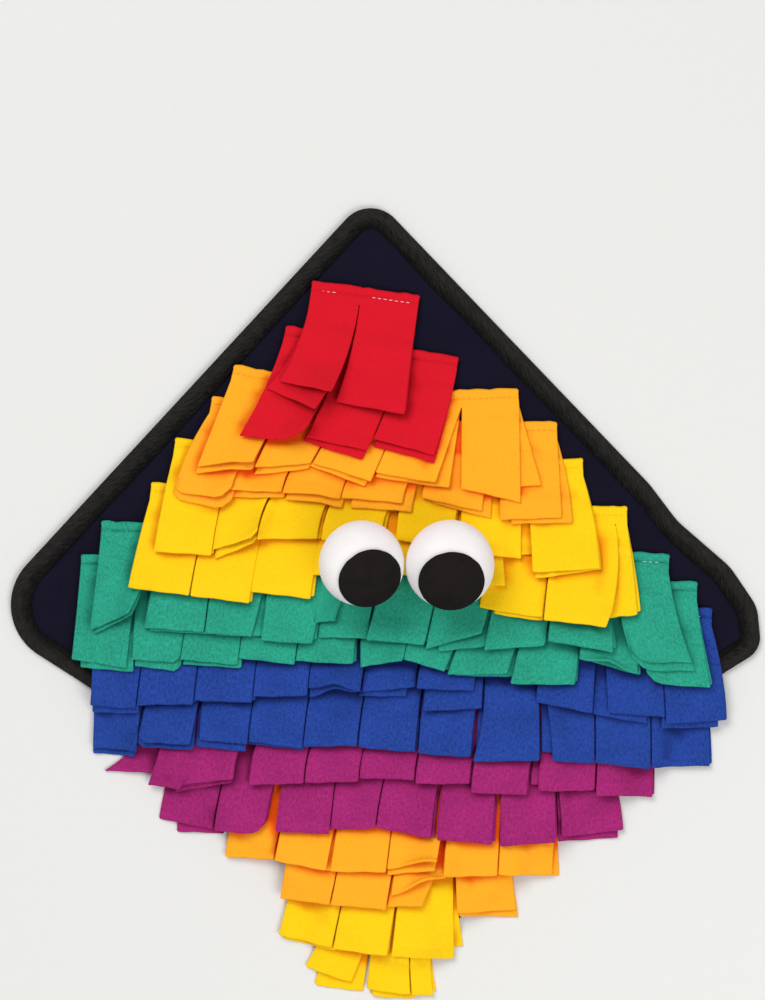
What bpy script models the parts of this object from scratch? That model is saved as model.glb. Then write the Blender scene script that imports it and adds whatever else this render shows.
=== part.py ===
"""Snuffle mat, lying face up with one corner towards +Y.

A square panel with a bound edge carries sixteen fleece strips. Each strip is folded double along
its top edge, sewn down just below the fold, and slit through both layers into flaps, which lie
towards -Y over the strips below it. Two stuffed eyes with felt pupils sit on the green flaps.
The strips are laid from the lowest to the highest, each on the height of what lies under it.

Lengths are in millimetres here, and MM turns them into metres where a mesh is made. The frame's
origin is on the floor, under the middle of the object's box.
"""

import math
from collections import namedtuple

import bpy
import numpy as np

MM = 0.001

CLEAR = 0.3  # gap between pieces that touch
SURE = 0.15  # added to it where the height below is read from a grid
GAP = CLEAR + SURE

# The panel and its binding.
PANEL_TOP = 3.4
MARGIN_LOW, MARGIN_TOP = 1.1, 3.1  # the panel's edge inside the folded tape
MARGIN_INSET = 1.8
TAPE = 0.8  # thickness
TAPE_WIDE = 11.0  # on the face, and the same on the back
BINDING_TOP = 4.2
TAPE_ROUND = 1.2  # how far the tape's folded edge rounds in

# The panel's outline, corner by corner: where its sides would meet, and the radius there.
Corner = namedtuple("Corner", "x y radius")
CORNERS = (
    Corner(-8.9, 221.4, 18),  # top
    Corner(-221.0, -8.0, 32),  # left
    Corner(-160.7, -46.4, 40),
    Corner(9.5, -199.3, 19),  # bottom
    Corner(182.2, -38.9, 30),
    Corner(203.0, -26.0, 13),  # right
    Corner(200.6, -2.7, 20),
    Corner(186.0, 18.9, 30),
    Corner(157.4, 43.7, 40),
    Corner(142.3, 63.7, 40),
)

# The fleece strips.
FLEECE = 1.5  # thickness of one layer
HEADER = 10.0  # from the fold to the top of the slits
SLIT = 1.0  # width of a slit at its top, and the least between two flaps
FOLD_OUTER, FOLD_INNER = 1.2, 2.5  # where the fold's outside and inside turn flat
LIMP = 0.2  # how sharply a flap bends over an edge, in 1/mm
FLARE = 0.04  # how much wider each half of a foot lies, in shares of its width
UNDER_SIDE = (0.8, 2.5)  # a lower layer that doesn't show lies this far to the right
UNDER_LONG = (-2.5, -1.0)  # and this much lower

# A row for each strip, from the top: the ends of its fold, and how far the fold bows down between
# them; hang, which is 0 where the flaps' sides leave the header straight down and 1 where they end
# so; and for each flap how far its foot lies to the right, the flap's length, and how far the
# foot's right end is turned up, in degrees.
Row = namedtuple("Row", "name colour left right sag hang leans reaches turns")
ROWS = (
    Row("red_1", "red", (-40, 174), (18, 166), 0, 0, (-16, -10), (49, 55), (-4, -3)),
    Row("red_2", "red", (-54, 150), (39, 133), 1, 0.2, (-22, -18, -13), (54, 49, 44), (6, -2, -7)),
    Row("orange_1", "orange", (-82, 129), (71, 116), 6, 0.5,
        (-17, -20, -18, -15, 0), (45, 42, 41, 41, 48), (17, 13, -13, -8, -16)),
    Row("orange_2", "orange", (-94, 112), (92, 98), 5, 0.9,
        (-18, -23, -24, -22, -10, 1), (46, 42, 42, 41, 37, 43), (3, 5, -1, -2, -11, 2)),
    Row("yellow_1", "yellow", (-114, 89), (106, 78), 5, 1,
        (-9, -14, -18, -14, -7, -3, 6), (52, 44, 41, 39, 37, 42, 51), (3, 23, 5, 0, -6, -8, 1)),
    Row("yellow_2", "yellow", (-127, 65), (130, 52), 4, 0.7,
        (-10, -9, -8, -6, -3, -1, -9, -7, 0), (49, 50, 45, 32, 30, 33, 49, 54, 50),
        (-2, -2, -3, 4, -1, -3, -8, -7, 5)),
    Row("green_1", "green", (-154, 44), (153, 26), 0, 0.3,
        (-10, -6, -7, -6, -16, -9, -10, -7, -2, 11), (45, 47, 48, 50, 40, 47, 45, 46, 43, 51),
        (29, 0, -2, 0, 11, -2, 20, 8, -7, 4)),
    Row("green_2", "green", (-165, 26), (168, 11), 1, 0.4,
        (-6, -4, -6, -5, -5, -3, -12, -13, -8, -3, 4), (49, 46, 45, 43, 42, 41, 42, 46, 49, 36, 47),
        (-5, -2, -2, -4, 0, 13, -14, 3, 1, -13, -1)),
    Row("blue_1", "blue", (-156, 8), (176, -3), 0, 0.8,
        (-6, -9, -7, -6, -8, -9, -9, -5, -5, 5, 6), (55, 53, 50, 46, 42, 41, 40, 32, 47, 50, 53),
        (-2, 3, -1, 3, -2, 7, -1, 0, -9, -3, 5)),
    Row("blue_2", "blue", (-157, -16), (172, -25), 0, 0.8,
        (-5, -8, -5, -7, -8, -8, -6, -3, 5, 0, 2), (54, 50, 48, 49, 49, 50, 52, 54, 54, 55, 55),
        (-4, -1, -4, -5, 2, -3, -2, 2, -1, -5, 3)),
    Row("purple_1", "purple", (-116, -38), (145, -48), 0, 1,
        (-18, -25, -15, -15, -14, -13, -12, -4, -2), (55, 54, 50, 48, 45, 46, 50, 46, 48),
        (-4, 10, 5, 3, 0, 2, -1, 3, 0)),
    Row("purple_2", "purple", (-108, -59), (118, -69), 0, 0.8,
        (-14, -14, -7, -9, -10, -5, 1, 8), (53, 56, 53, 50, 51, 54, 54, 48),
        (-9, -1, 0, 4, -8, -4, 6, 9)),
    Row("orange_3", "orange", (-79, -81), (92, -91), 0, 0.5,
        (-9, -11, -7, -7, -3, -3), (48, 50, 51, 45, 50, 48), (1, -7, 2, 12, 3, 2)),
    Row("orange_4", "orange", (-50, -104), (66, -111), 0, 0.4,
        (-9, -9, -5, 5), (48, 49, 34, 48), (-2, -2, 22, 6)),
    Row("yellow_3", "yellow", (-47, -125), (37, -132), 0, 0.4, (-10, -9, -3), (49, 52, 52), (-8, -2, 2)),
    Row("yellow_4", "yellow", (-29, -146), (26, -152), 0, 0, (-14, -3, 0), (47, 52, 52), (-13, -1, 6)),
)
WIDTHS = {  # shares of the strip, where its flaps aren't all as wide
    "red_1": (0.46, 0.54),
    "yellow_2": (1, 1, 1, 1, 1, 1, 1, 1, 0.2),
    "yellow_4": (1, 0.8, 0.45),
}

# Flaps that don't lie plainly. lift: how far the foot's left and right corners stand up.
# narrow: the shares of the foot's width that its left and right sides have rolled in.
# under: the lower layer's foot, to the right, lower, and its right end turned up.
# under_narrow: the lower layer's own narrow.
PLAIN = {"lift": (0, 0), "narrow": (0, 0), "under": None, "under_narrow": None}
ODD = {
    ("red_1", 0): {"lift": (0, 5), "under": (-8, 9, -12)},
    ("red_1", 1): {"lift": (0, 2), "narrow": (-0.06, -0.06)},
    ("red_2", 0): {"lift": (0, 4), "narrow": (0, 0.15)},
    ("red_2", 1): {"under": (-2, 4, -6)},
    ("red_2", 2): {"under": (0, 4, 0)},
    ("orange_1", 0): {"lift": (0, 3), "under": (-1, 4, -1)},
    ("orange_1", 1): {"under": (0, 3, 2)},
    ("orange_1", 2): {"under": (-3, 3, -3)},
    ("orange_1", 3): {"lift": (0, 2), "under": (0, 2, 1), "under_narrow": (0, -0.25)},
    ("orange_1", 4): {"under": (11, -3, 18)},
    ("orange_2", 0): {"lift": (0, 3), "under": (-1, 5, -5)},
    ("orange_2", 1): {"under": (2, 2, 2)},
    ("orange_2", 2): {"under": (1, 3, -2)},
    ("orange_2", 3): {"under": (5, 2, 1)},
    ("orange_2", 4): {"under": (5, 2, -3)},
    ("orange_2", 5): {"under": (6, 3, -1)},
    ("yellow_1", 1): {"lift": (0, 4), "narrow": (0.05, 0.1), "under": (0, 4, 5)},
    ("yellow_1", 3): {"narrow": (0, 0.05)},
    ("yellow_1", 4): {"narrow": (0.05, 0.03)},
    ("yellow_1", 5): {"under": (7, 0, 7)},
    ("yellow_1", 6): {"lift": (2, 0), "narrow": (-0.04, -0.04), "under": (1, 2, 5)},
    ("yellow_2", 6): {"narrow": (-0.04, 0), "under": (0, 2, 1)},
    ("yellow_2", 7): {"lift": (0, 2)},
    ("yellow_2", 8): {"narrow": (-0.8, -0.8)},
    ("green_1", 0): {"lift": (0, 3), "narrow": (0.15, 0.18), "under": (2, 1, 3)},
    ("green_1", 1): {"under": (3, 1, 1)},
    ("green_1", 2): {"narrow": (0.1, 0.15), "under": (6, 0, 3), "under_narrow": (0.1, 0.1)},
    ("green_1", 3): {"narrow": (0.06, 0.1)},
    ("green_1", 4): {"lift": (0, 3), "narrow": (0.3, 0.4), "under": (9, 6, -9), "under_narrow": (0.1, 0.1)},
    ("green_1", 6): {"lift": (0, 3), "under": (6, 3, -10), "under_narrow": (0.1, 0.1)},
    ("green_1", 8): {"lift": (3, 0), "narrow": (-0.05, -0.05)},
    ("green_1", 9): {"narrow": (0.15, 0), "under": (2, 5, 0)},
    ("green_2", 0): {"narrow": (0.08, 0), "under": (5, 3, 4)},
    ("green_2", 1): {"narrow": (0.1, 0.12), "under": (0, 4, -3)},
    ("green_2", 2): {"under": (2, 2, 2)},
    ("green_2", 5): {"lift": (0, 3), "narrow": (0.13, 0.13)},
    ("green_2", 6): {"lift": (3, 0), "narrow": (0.13, 0.13)},
    ("green_2", 7): {"under": (4, 0, -2)},
    ("green_2", 8): {"narrow": (-0.04, -0.04)},
    ("green_2", 9): {"lift": (4, 2), "under": (2, 2, -1)},
    ("green_2", 10): {"narrow": (0.1, -0.06)},
    ("blue_1", 0): {"narrow": (0.12, 0.1), "under": (1, 3, 3)},
    ("blue_1", 4): {"lift": (0, 2), "under": (-1, 3, 10)},
    ("blue_1", 5): {"under": (-2, 4, -6), "under_narrow": (0, 0.15)},
    ("blue_1", 6): {"lift": (3, 0), "under": (5, 10, 5)},
    ("blue_1", 9): {"under": (-11, 2, -6)},
    ("blue_1", 10): {"narrow": (-0.04, -0.04), "under": (-2, 3, -2), "under_narrow": (0, 0.05)},
    ("blue_2", 0): {"narrow": (0.15, 0.12), "under": (0, 3, 0)},
    ("blue_2", 1): {"lift": (2, 2), "narrow": (0.05, 0.06), "under": (-2, 3, 0),
                    "under_narrow": (0.05, -0.08)},
    ("blue_2", 2): {"narrow": (0.08, 0.08), "under": (-2, 4, -1)},
    ("blue_2", 3): {"under": (0, 1, 1)},
    ("blue_2", 6): {"narrow": (0.06, 0.06)},
    ("blue_2", 7): {"narrow": (-0.06, -0.08)},
    ("blue_2", 8): {"narrow": (0.12, 0.14), "under": (-5, -5, 0), "under_narrow": (0.05, 0.1)},
    ("purple_1", 0): {"lift": (0, 2), "narrow": (0.22, 0.22), "under": (-15, 0, 4),
                      "under_narrow": (-0.1, 0.05)},
    ("purple_1", 1): {"lift": (0, 2), "under": (-1, 3, 3)},
    ("purple_1", 7): {"under": (-4, -2, -3)},
    ("purple_2", 0): {"under": (10, 3, 9)},
    ("purple_2", 1): {"narrow": (0.05, 0.1)},
    ("purple_2", 3): {"narrow": (0.08, 0.08)},
    ("purple_2", 7): {"narrow": (-0.06, -0.06), "under": (-3, 3, -3)},
    ("orange_3", 0): {"narrow": (0.075, 0), "under": (2.5, 0, 0)},
    ("orange_3", 1): {"under": (4, 0, 1)},
    ("orange_3", 3): {"lift": (0, 4), "narrow": (0.06, 0.06), "under": (-1, 4, -3)},
    ("orange_3", 5): {"under": (4, 0, -1)},
    ("orange_4", 0): {"narrow": (0.11, 0), "under": (3, 0, 0)},
    ("orange_4", 2): {"lift": (0, 4), "under": (-8, 14, -17), "under_narrow": (0.2, 0.2)},
    ("orange_4", 3): {"narrow": (-0.08, 0.04), "under": (1, 3, -4)},
    ("yellow_3", 0): {"under": (3, 1.5, 0)},
    ("yellow_3", 2): {"narrow": (-0.06, -0.08), "under": (5, -5, 6)},
    ("yellow_4", 0): {"under": (6, 6, 12)},
    ("yellow_4", 1): {"narrow": (-0.08, -0.08), "under": (3, 3, 4)},
}

# The eyes. A pupil's middle is tipped from the top of its ball towards -Y by down degrees, and
# then turned about the ball's axis to +X by side degrees. It reaches spread degrees round it.
Eye = namedtuple("Eye", "name x y radius down side spread")
EYES = (
    Eye("left", -13.5, 21.2, 22.9, 31.5, 30, 45.5),
    Eye("right", 33.8, 20.6, 23.8, 29, 5, 45),
)
EYE_ABOVE, EYE_BELOW = 20.0, 12.0  # height over and under its widest part
PUPIL = 1.5  # felt thickness
EYE_SEAT = 6.0  # radius of the part of an eye that sits on the flaps

# How finely the solids and the height grid are cut.
CELL = 0.5
HALF = 240.0  # the grid reaches this far each way
FINE_DOWN, FINE_ACROSS = 12, 4  # a flap's cells while it settles
DOWN, ACROSS = (0, 3, 8, 12), (0, 2, 4)  # the ones that the solid keeps
SETTLE_STEPS = 160
SAMPLE = 0.35
CORNER_STEP = 15  # degrees
EYE_RINGS, EYE_SIDES = 7, 24
PUPIL_RINGS = 4

COLOURS = {
    "red": (0.73, 0.008, 0.021),
    "orange": (1.0, 0.43, 0.019),
    "yellow": (0.98, 0.65, 0.007),
    "green": (0.023, 0.376, 0.231),
    "blue": (0.018, 0.07, 0.40),
    "purple": (0.376, 0.019, 0.195),
    "navy": (0.009, 0.008, 0.021),
    "tape": (0.014, 0.014, 0.014),
    "white": (0.85, 0.84, 0.83),
    "black": (0.014, 0.012, 0.012),
}


def make_material(name, roughness=0.95):
    material = bpy.data.materials.new(name)
    material.use_nodes = True
    shader = material.node_tree.nodes["Principled BSDF"]
    shader.inputs["Base Color"].default_value = (*COLOURS[name], 1)
    shader.inputs["Roughness"].default_value = roughness
    shader.inputs["Metallic"].default_value = 0
    material.diffuse_color = (*COLOURS[name], 1)
    return material


def add_solid(name, points, faces, material, smooth=False):
    """An object from points in millimetres and faces that turn anticlockwise seen from outside."""
    mesh = bpy.data.meshes.new(name)
    mesh.from_pydata((np.asarray(points) * MM).tolist(), [], [tuple(f) for f in faces])
    mesh.materials.append(material)
    if smooth:
        mesh.shade_smooth()
    made = bpy.data.objects.new(name, mesh)
    bpy.context.scene.collection.objects.link(made)
    return made


def outline(inset):
    """The panel's outline, anticlockwise, moved in by inset: an arc at each corner."""
    points = []
    spots = np.array([(c.x, c.y) for c in CORNERS])
    for i, corner in enumerate(CORNERS):
        before = spots[i - 1] - spots[i]
        after = spots[(i + 1) % len(spots)] - spots[i]
        before, after = before / np.linalg.norm(before), after / np.linalg.norm(after)
        turn = math.pi - math.acos(np.clip(before @ after, -1, 1))
        hollow = before[0] * after[1] - before[1] * after[0] > 0
        middle = (before + after) / np.linalg.norm(before + after)
        centre = spots[i] + middle * corner.radius / math.cos(turn / 2)
        radius = corner.radius + inset if hollow else corner.radius - inset
        facing = math.atan2(-middle[1], -middle[0])
        steps = max(1, math.ceil(math.degrees(turn) / CORNER_STEP))
        sweep = (-turn if hollow else turn) * (np.arange(steps + 1) / steps - 0.5)
        points += [centre + radius * np.array((math.cos(a), math.sin(a))) for a in facing + sweep]
    return np.array(points)


def lofted(loops, closed_section):
    """Points and faces over loops of equal length, each (points, z), listed from inside to outside
    round the section. A section that isn't closed gets a flat cap at each end."""
    count = len(loops[0][0])
    points = np.vstack([np.column_stack((flat, np.full(count, z))) for flat, z in loops])
    faces = []
    for k in range(len(loops) if closed_section else len(loops) - 1):
        low, high = k * count, (k + 1) % len(loops) * count
        for i in range(count):
            j = (i + 1) % count
            faces.append((low + i, low + j, high + j, high + i))
    if not closed_section:
        faces.append(tuple(range(count))[::-1])
        faces.append(tuple(range((len(loops) - 1) * count, len(loops) * count)))
    return points, faces


def make_panel(materials):
    core, edge = TAPE_WIDE + CLEAR, MARGIN_INSET
    levels = ((core, 0), (core, MARGIN_LOW), (edge, MARGIN_LOW), (edge, MARGIN_TOP),
              (core, MARGIN_TOP), (core, PANEL_TOP))
    points, faces = lofted([(outline(inset), z) for inset, z in levels], closed_section=False)
    return add_solid("panel", points, faces, materials["navy"])


def make_binding(materials):
    """A tape folded over the edge: its section runs out along the bottom and back over the top."""
    pocket = MARGIN_INSET - CLEAR
    section = (
        (TAPE_WIDE, 0), (TAPE_ROUND, 0), (0, TAPE_ROUND), (0, BINDING_TOP - TAPE_ROUND),
        (TAPE_ROUND, BINDING_TOP), (TAPE_WIDE, BINDING_TOP), (TAPE_WIDE, BINDING_TOP - TAPE),
        (pocket, BINDING_TOP - TAPE), (pocket, TAPE), (TAPE_WIDE, TAPE),
    )
    points, faces = lofted([(outline(inset), z) for inset, z in section], closed_section=True)
    return add_solid("binding", points, faces, materials["tape"])


class Ground:
    """The height of what lies on the floor so far, on a grid of square cells."""

    def __init__(self):
        self.count = int(2 * HALF / CELL)
        middles = (np.arange(self.count) + 0.5) * CELL - HALF
        x, y = np.meshgrid(middles, middles, indexing="ij")
        self.top = np.where(inside(outline(0), x, y), BINDING_TOP, 0.0)
        self.top[inside(outline(TAPE_WIDE), x, y)] = PANEL_TOP

    def cells(self, x, y):
        column = np.clip(((x + HALF) / CELL).astype(int), 0, self.count - 1)
        line = np.clip(((y + HALF) / CELL).astype(int), 0, self.count - 1)
        return column, line

    def height(self, x, y):
        return self.top[self.cells(x, y)]

    def least(self, x, y):
        """How low the underside of a new piece may lie: on the floor itself, or clear of a piece."""
        height = self.height(x, y)
        return np.where(height > 0, height + GAP, 0.0)

    def highest_near(self, x, y, reach):
        """The least() of every point, and of those up to reach from it."""
        steps = np.arange(-reach, reach + 1.0)
        across, along = np.meshgrid(steps, steps)
        near = across**2 + along**2 <= reach**2
        return self.least(x[..., None] + across[near], y[..., None] + along[near]).max(axis=-1)

    def lay(self, x, y, z):
        np.maximum.at(self.top, self.cells(x, y), z)


def inside(loop, x, y):
    """Whether each point is inside a closed outline, by the sides crossed on the way out."""
    crossed = np.zeros(x.shape, bool)
    for (ax, ay), (bx, by) in zip(loop, np.roll(loop, -1, axis=0)):
        if ay != by:
            spans = (ay > y) != (by > y)
            crossed ^= spans & (x < ax + (y - ay) * (bx - ax) / (by - ay))
    return crossed


def cell_samples(grid):
    """Corner numbers of a point grid's cells, and weights that spread points over each cell's
    two triangles, which share the side from its first corner to its third."""
    lines, columns = grid.shape[:2]
    first = (np.arange(lines - 1)[:, None] * columns + np.arange(columns - 1)).ravel()
    corners = np.stack((first, first + columns, first + columns + 1, first + 1), axis=1)
    down = np.linalg.norm(np.diff(grid[..., :2], axis=0), axis=2).max()
    across = np.linalg.norm(np.diff(grid[..., :2], axis=1), axis=2).max()
    s, t = np.meshgrid(
        np.linspace(0, 1, math.ceil(down / SAMPLE) + 1), np.linspace(0, 1, math.ceil(across / SAMPLE) + 1)
    )
    s, t = s.ravel(), t.ravel()
    low, high = np.minimum(s, t), np.maximum(s, t)
    weights = np.stack((1 - high, np.maximum(s - t, 0), low, np.maximum(t - s, 0)), axis=1)
    return corners, weights


def spread(values, corners, weights):
    """A value at every sample of every cell."""
    return np.einsum("kc,sc->ks", values[corners], weights)


def settle(grid, ground):
    """Heights for a flap's fine grid, whose first line is held: each point hangs between its
    neighbours, less a little for weight, and no lower than what lies under it."""
    down = np.linalg.norm(np.diff(grid[..., :2], axis=0), axis=2).mean()
    across = np.linalg.norm(np.diff(grid[..., :2], axis=1), axis=2).mean()
    per_down, per_across = down**-2, across**-2
    whole = 2 * (per_down + per_across)
    least = ground.highest_near(grid[..., 0], grid[..., 1], 1.0)
    z = np.maximum(grid[..., 2], least)
    z[0] = grid[0, :, 2]
    for _ in range(SETTLE_STEPS):
        above, below = z[:-2], z[2:]
        lengthwise = np.vstack((above + below, 2 * z[-2:-1]))
        left = np.hstack((z[:, 1:2], z[:, :-1]))
        right = np.hstack((z[:, 1:], z[:, -2:-1]))
        hung = (per_down * lengthwise + per_across * (left + right)[1:] - LIMP) / whole
        z[1:] = np.maximum(least[1:], hung)
    return z


def clear_of(grid, ground):
    """Raises a coarse grid until both triangles of every cell clear what lies under them."""
    corners, weights = cell_samples(grid)
    x, y, z = (grid[..., k].ravel().copy() for k in range(3))
    least = ground.least(spread(x, corners, weights), spread(y, corners, weights))
    share = weights / (weights**2).sum(axis=1, keepdims=True)
    for _ in range(60):
        short = least - spread(z, corners, weights)
        if short.max() < 1e-4:
            break
        rise = np.zeros(len(z))
        np.maximum.at(rise, np.broadcast_to(corners[:, None], (*short.shape, 4)),
                      np.maximum(short, 0)[..., None] * share)
        z += rise
    return z.reshape(grid.shape[:2])


def lay_on(ground, grid, thickness):
    corners, weights = cell_samples(grid)
    x, y, z = (spread(grid[..., k].ravel(), corners, weights) for k in range(3))
    ground.lay(x, y, z + thickness)


def header_frame(row, along):
    """Points of the strip's fold at shares along it, and there the direction down the strip."""
    left, right = np.array(row.left, float), np.array(row.right, float)
    bow = 4 * row.sag * along * (1 - along)
    points = left + (right - left) * along[:, None] - np.stack((0 * bow, bow), axis=1)
    tangent = (right - left) - np.stack((0 * along, 4 * row.sag * (1 - 2 * along)), axis=1)
    tangent /= np.linalg.norm(tangent, axis=1, keepdims=True)
    return points, np.stack((tangent[:, 1], -tangent[:, 0]), axis=1)


def oddity(row, i):
    return {**PLAIN, **ODD.get((row.name, i), {})}


def flap_sides(row):
    """Shares along the strip of each flap's left and right side."""
    widths = np.array(WIDTHS.get(row.name, (1,) * len(row.leans)), float)
    ends = np.concatenate(((0,), np.cumsum(widths))) / widths.sum()
    half_slit = SLIT / 2 / math.dist(row.left, row.right)
    sides = np.stack((ends[:-1] + half_slit, ends[1:] - half_slit), axis=1)
    sides[0, 0], sides[-1, 1] = 0, 1
    return sides


def feet(row, upper, leans, reaches, turns):
    """Left and right corners of each flap's foot. Where two feet would overlap, both end midway."""
    sides = flap_sides(row)
    points, down = header_frame(row, sides.mean(axis=1))
    slope = np.arctan2(down[:, 0], -down[:, 1])
    wide = (sides[:, 1] - sides[:, 0]) * math.dist(row.left, row.right)
    drop = np.sqrt(reaches**2 - leans**2)
    middle = points + down * HEADER + np.stack((leans, -drop), axis=1)
    angle = slope + np.radians(turns)
    along = np.stack((np.cos(angle), np.sin(angle)), axis=1)
    odd = [oddity(row, i) for i in range(len(leans))]
    narrow = np.array([not upper and o["under_narrow"] or o["narrow"] for o in odd], float)
    left = middle - along * (wide * (0.5 + FLARE - narrow[:, 0]))[:, None]
    right = middle + along * (wide * (0.5 + FLARE - narrow[:, 1]))[:, None]
    for i in range(len(leans) - 1):
        over = right[i, 0] + SLIT - left[i + 1, 0]
        if over > 0:
            right[i] -= along[i] * over / 2 / along[i, 0]
            left[i + 1] += along[i + 1] * over / 2 / along[i + 1, 0]
    return left, right


def flap_grid(row, i, foot_left, foot_right, reach, root_z):
    """A flap's fine grid. Each side is a curve of the second degree from the slit's top to the
    foot's corner, and lines across join the two."""
    points, down = header_frame(row, flap_sides(row)[i])
    root = points + down * HEADER
    foot = np.stack((foot_left, foot_right))
    below, above = root + down * reach / 2, foot - down * reach / 2
    bend = below + (above - below) * row.hang
    v = np.linspace(0, 1, FINE_DOWN + 1)[:, None, None]
    edges = (1 - v) ** 2 * root + 2 * v * (1 - v) * bend + v**2 * foot
    u = np.linspace(0, 1, FINE_ACROSS + 1)[None, :, None]
    flat = edges[:, :1] * (1 - u) + edges[:, 1:] * u
    z = root_z[0] + (root_z[1] - root_z[0]) * u[..., 0] * np.ones_like(v[..., 0])
    return np.dstack((flat, z))


def settled_flap(row, i, grid, ground):
    """The flap's coarse grid, laid on what is under it, with its lifted corners."""
    z = settle(grid, ground)
    u = np.linspace(0, 1, z.shape[1])
    v = np.linspace(0, 1, z.shape[0])[:, None]
    lift = oddity(row, i)["lift"]
    z = z + v**2 * (lift[0] * (1 - u) ** 2 + lift[1] * u**2)
    coarse = np.dstack((grid[..., :2], z))[np.ix_(DOWN, ACROSS)]
    coarse[..., 2] = clear_of(coarse, ground)
    return coarse


def under_layer(row, chance):
    """The lower layer's leans, lengths and turns: hidden by the upper layer's, or as stated."""
    hidden = np.column_stack((
        UNDER_SIDE[0] + (UNDER_SIDE[1] - UNDER_SIDE[0]) * chance[:, 0],
        UNDER_LONG[0] + (UNDER_LONG[1] - UNDER_LONG[0]) * chance[:, 1],
        0 * chance[:, 0],
    ))
    stated = [oddity(row, i)["under"] or hidden[i] for i in range(len(row.leans))]
    return np.array((row.leans, row.reaches, row.turns), float) + np.array(stated, float).T


def header_heights(row, ground, along):
    """The height under the strip's header at each share along it: clear of all that lies under
    the header, and a little below it, from the share before to the share after."""
    shares = np.linspace(0, 1, 400)
    points, down = header_frame(row, shares)
    depths = np.linspace(0, HEADER + 4, 20)
    spots = points[:, None] + down[:, None] * depths[None, :, None]
    least = ground.highest_near(spots[..., 0], spots[..., 1], 1.0).max(axis=1)
    before = np.concatenate(((0,), along[:-1])) - 0.005
    after = np.concatenate((along[1:], (1,))) + 0.005
    near = (shares >= before[:, None]) & (shares <= after[:, None])
    return np.where(near, least, 0).max(axis=1)


def strip_layers(row, ground, chance):
    """Lines of points across the strip, from the lower layer's feet up to the fold and down to
    the upper layer's feet: one array for the strip's outside and one for its inside."""
    sides = flap_sides(row)
    along = np.column_stack((sides[:, 0], sides.mean(axis=1), sides[:, 1])).ravel()
    floor = header_heights(row, ground, along)
    points, down = header_frame(row, along)
    count = len(row.leans)
    layers = []
    for upper in (False, True):
        base = floor + (FLEECE + GAP if upper else 0)
        if upper:
            leans, reaches, turns = np.array((row.leans, row.reaches, row.turns), float)
        else:
            leans, reaches, turns = under_layer(row, chance)
        left, right = feet(row, upper, leans, reaches, turns)
        flaps = []
        for i in range(count):
            held = base[3 * i], base[3 * i + 2]
            grid = flap_grid(row, i, left[i], right[i], reaches[i], held)
            flaps.append(settled_flap(row, i, grid, ground))
        top = np.column_stack((points, base))
        flat = np.stack((top, flap_line(flaps, 0)))
        for grid in (flat, *flaps):
            lay_on(ground, grid, FLEECE)
        layers.append((base, flaps))
    return points, down, floor, layers


def flap_line(flaps, k):
    """Line k of every flap, as one line across the strip."""
    return np.concatenate([flap[k] for flap in flaps])


def strip_mesh(points, down, floor, layers):
    """The strip as one closed surface. Its outside and inside are two grids with the same lines;
    their cells are there only within a flap, or in the header, and walls join the two. Each cell
    is cut in two as in cell_samples, so the lower layer's, which run upwards, the other way."""

    def at(depth, z):
        return np.column_stack((points + down * depth, z))

    (low, low_flaps), (high, high_flaps) = layers
    fold_z = floor + FLEECE + GAP / 2
    rise = np.array((0, 0, FLEECE))
    lines = len(DOWN)
    outer = [flap_line(low_flaps, k) for k in range(lines - 1, -1, -1)]
    inner = [line + rise for line in outer]
    outer += [at(FOLD_OUTER, low), at(0, fold_z), at(FOLD_OUTER, high + FLEECE)]
    inner += [at(FOLD_INNER, low + FLEECE), at(FLEECE, fold_z), at(FOLD_INNER, high)]
    under = [flap_line(high_flaps, k) for k in range(lines)]
    inner += under
    outer += [line + rise for line in under]
    outer, inner = np.array(outer), np.array(inner)
    rows, columns = outer.shape[:2]
    number = np.arange(rows * columns).reshape(rows, columns)
    line = np.repeat(np.arange(rows - 1), columns - 1)
    in_header = (line >= lines - 1) & (line < rows - lines)
    in_flap = np.tile(np.arange(columns - 1) % 3 != 2, rows - 1)
    there, lower = in_header | in_flap, line < lines - 1
    a, b = number[:-1, :-1].ravel(), number[1:, :-1].ravel()
    c, d = number[1:, 1:].ravel(), number[:-1, 1:].ravel()
    one = np.stack((a, b, np.where(lower, d, c)), axis=1)
    two = np.stack((np.where(lower, b, a), c, d), axis=1)
    skin = np.concatenate((one[there], two[there]))
    other = rows * columns
    ends = np.concatenate((skin[:, [0, 1]], skin[:, [1, 2]], skin[:, [2, 0]]))
    rim = ends[~np.isin(ends[:, 0] * other + ends[:, 1], ends[:, 1] * other + ends[:, 0])]
    start, end = rim[:, 0], rim[:, 1]
    walls = np.concatenate((
        np.stack((end, start, start + other), axis=1),
        np.stack((end, start + other, end + other), axis=1),
    ))
    faces = np.concatenate((skin, skin[:, ::-1] + other, walls))
    return np.vstack((outer.reshape(-1, 3), inner.reshape(-1, 3))), faces


def make_strips(ground, materials):
    """Every strip, laid from the lowest row up. The chances are drawn in the table's order."""
    chances = np.random.default_rng(16).random((sum(len(r.leans) for r in ROWS), 2))
    starts = np.cumsum([0] + [len(r.leans) for r in ROWS])
    for k in range(len(ROWS) - 1, -1, -1):
        row = ROWS[k]
        parts = strip_layers(row, ground, chances[starts[k] : starts[k + 1]])
        points, faces = strip_mesh(*parts)
        used, faces = np.unique(faces, return_inverse=True)
        add_solid("strip_" + row.name, points[used], faces.reshape(-1, 3), materials[row.colour])


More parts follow.
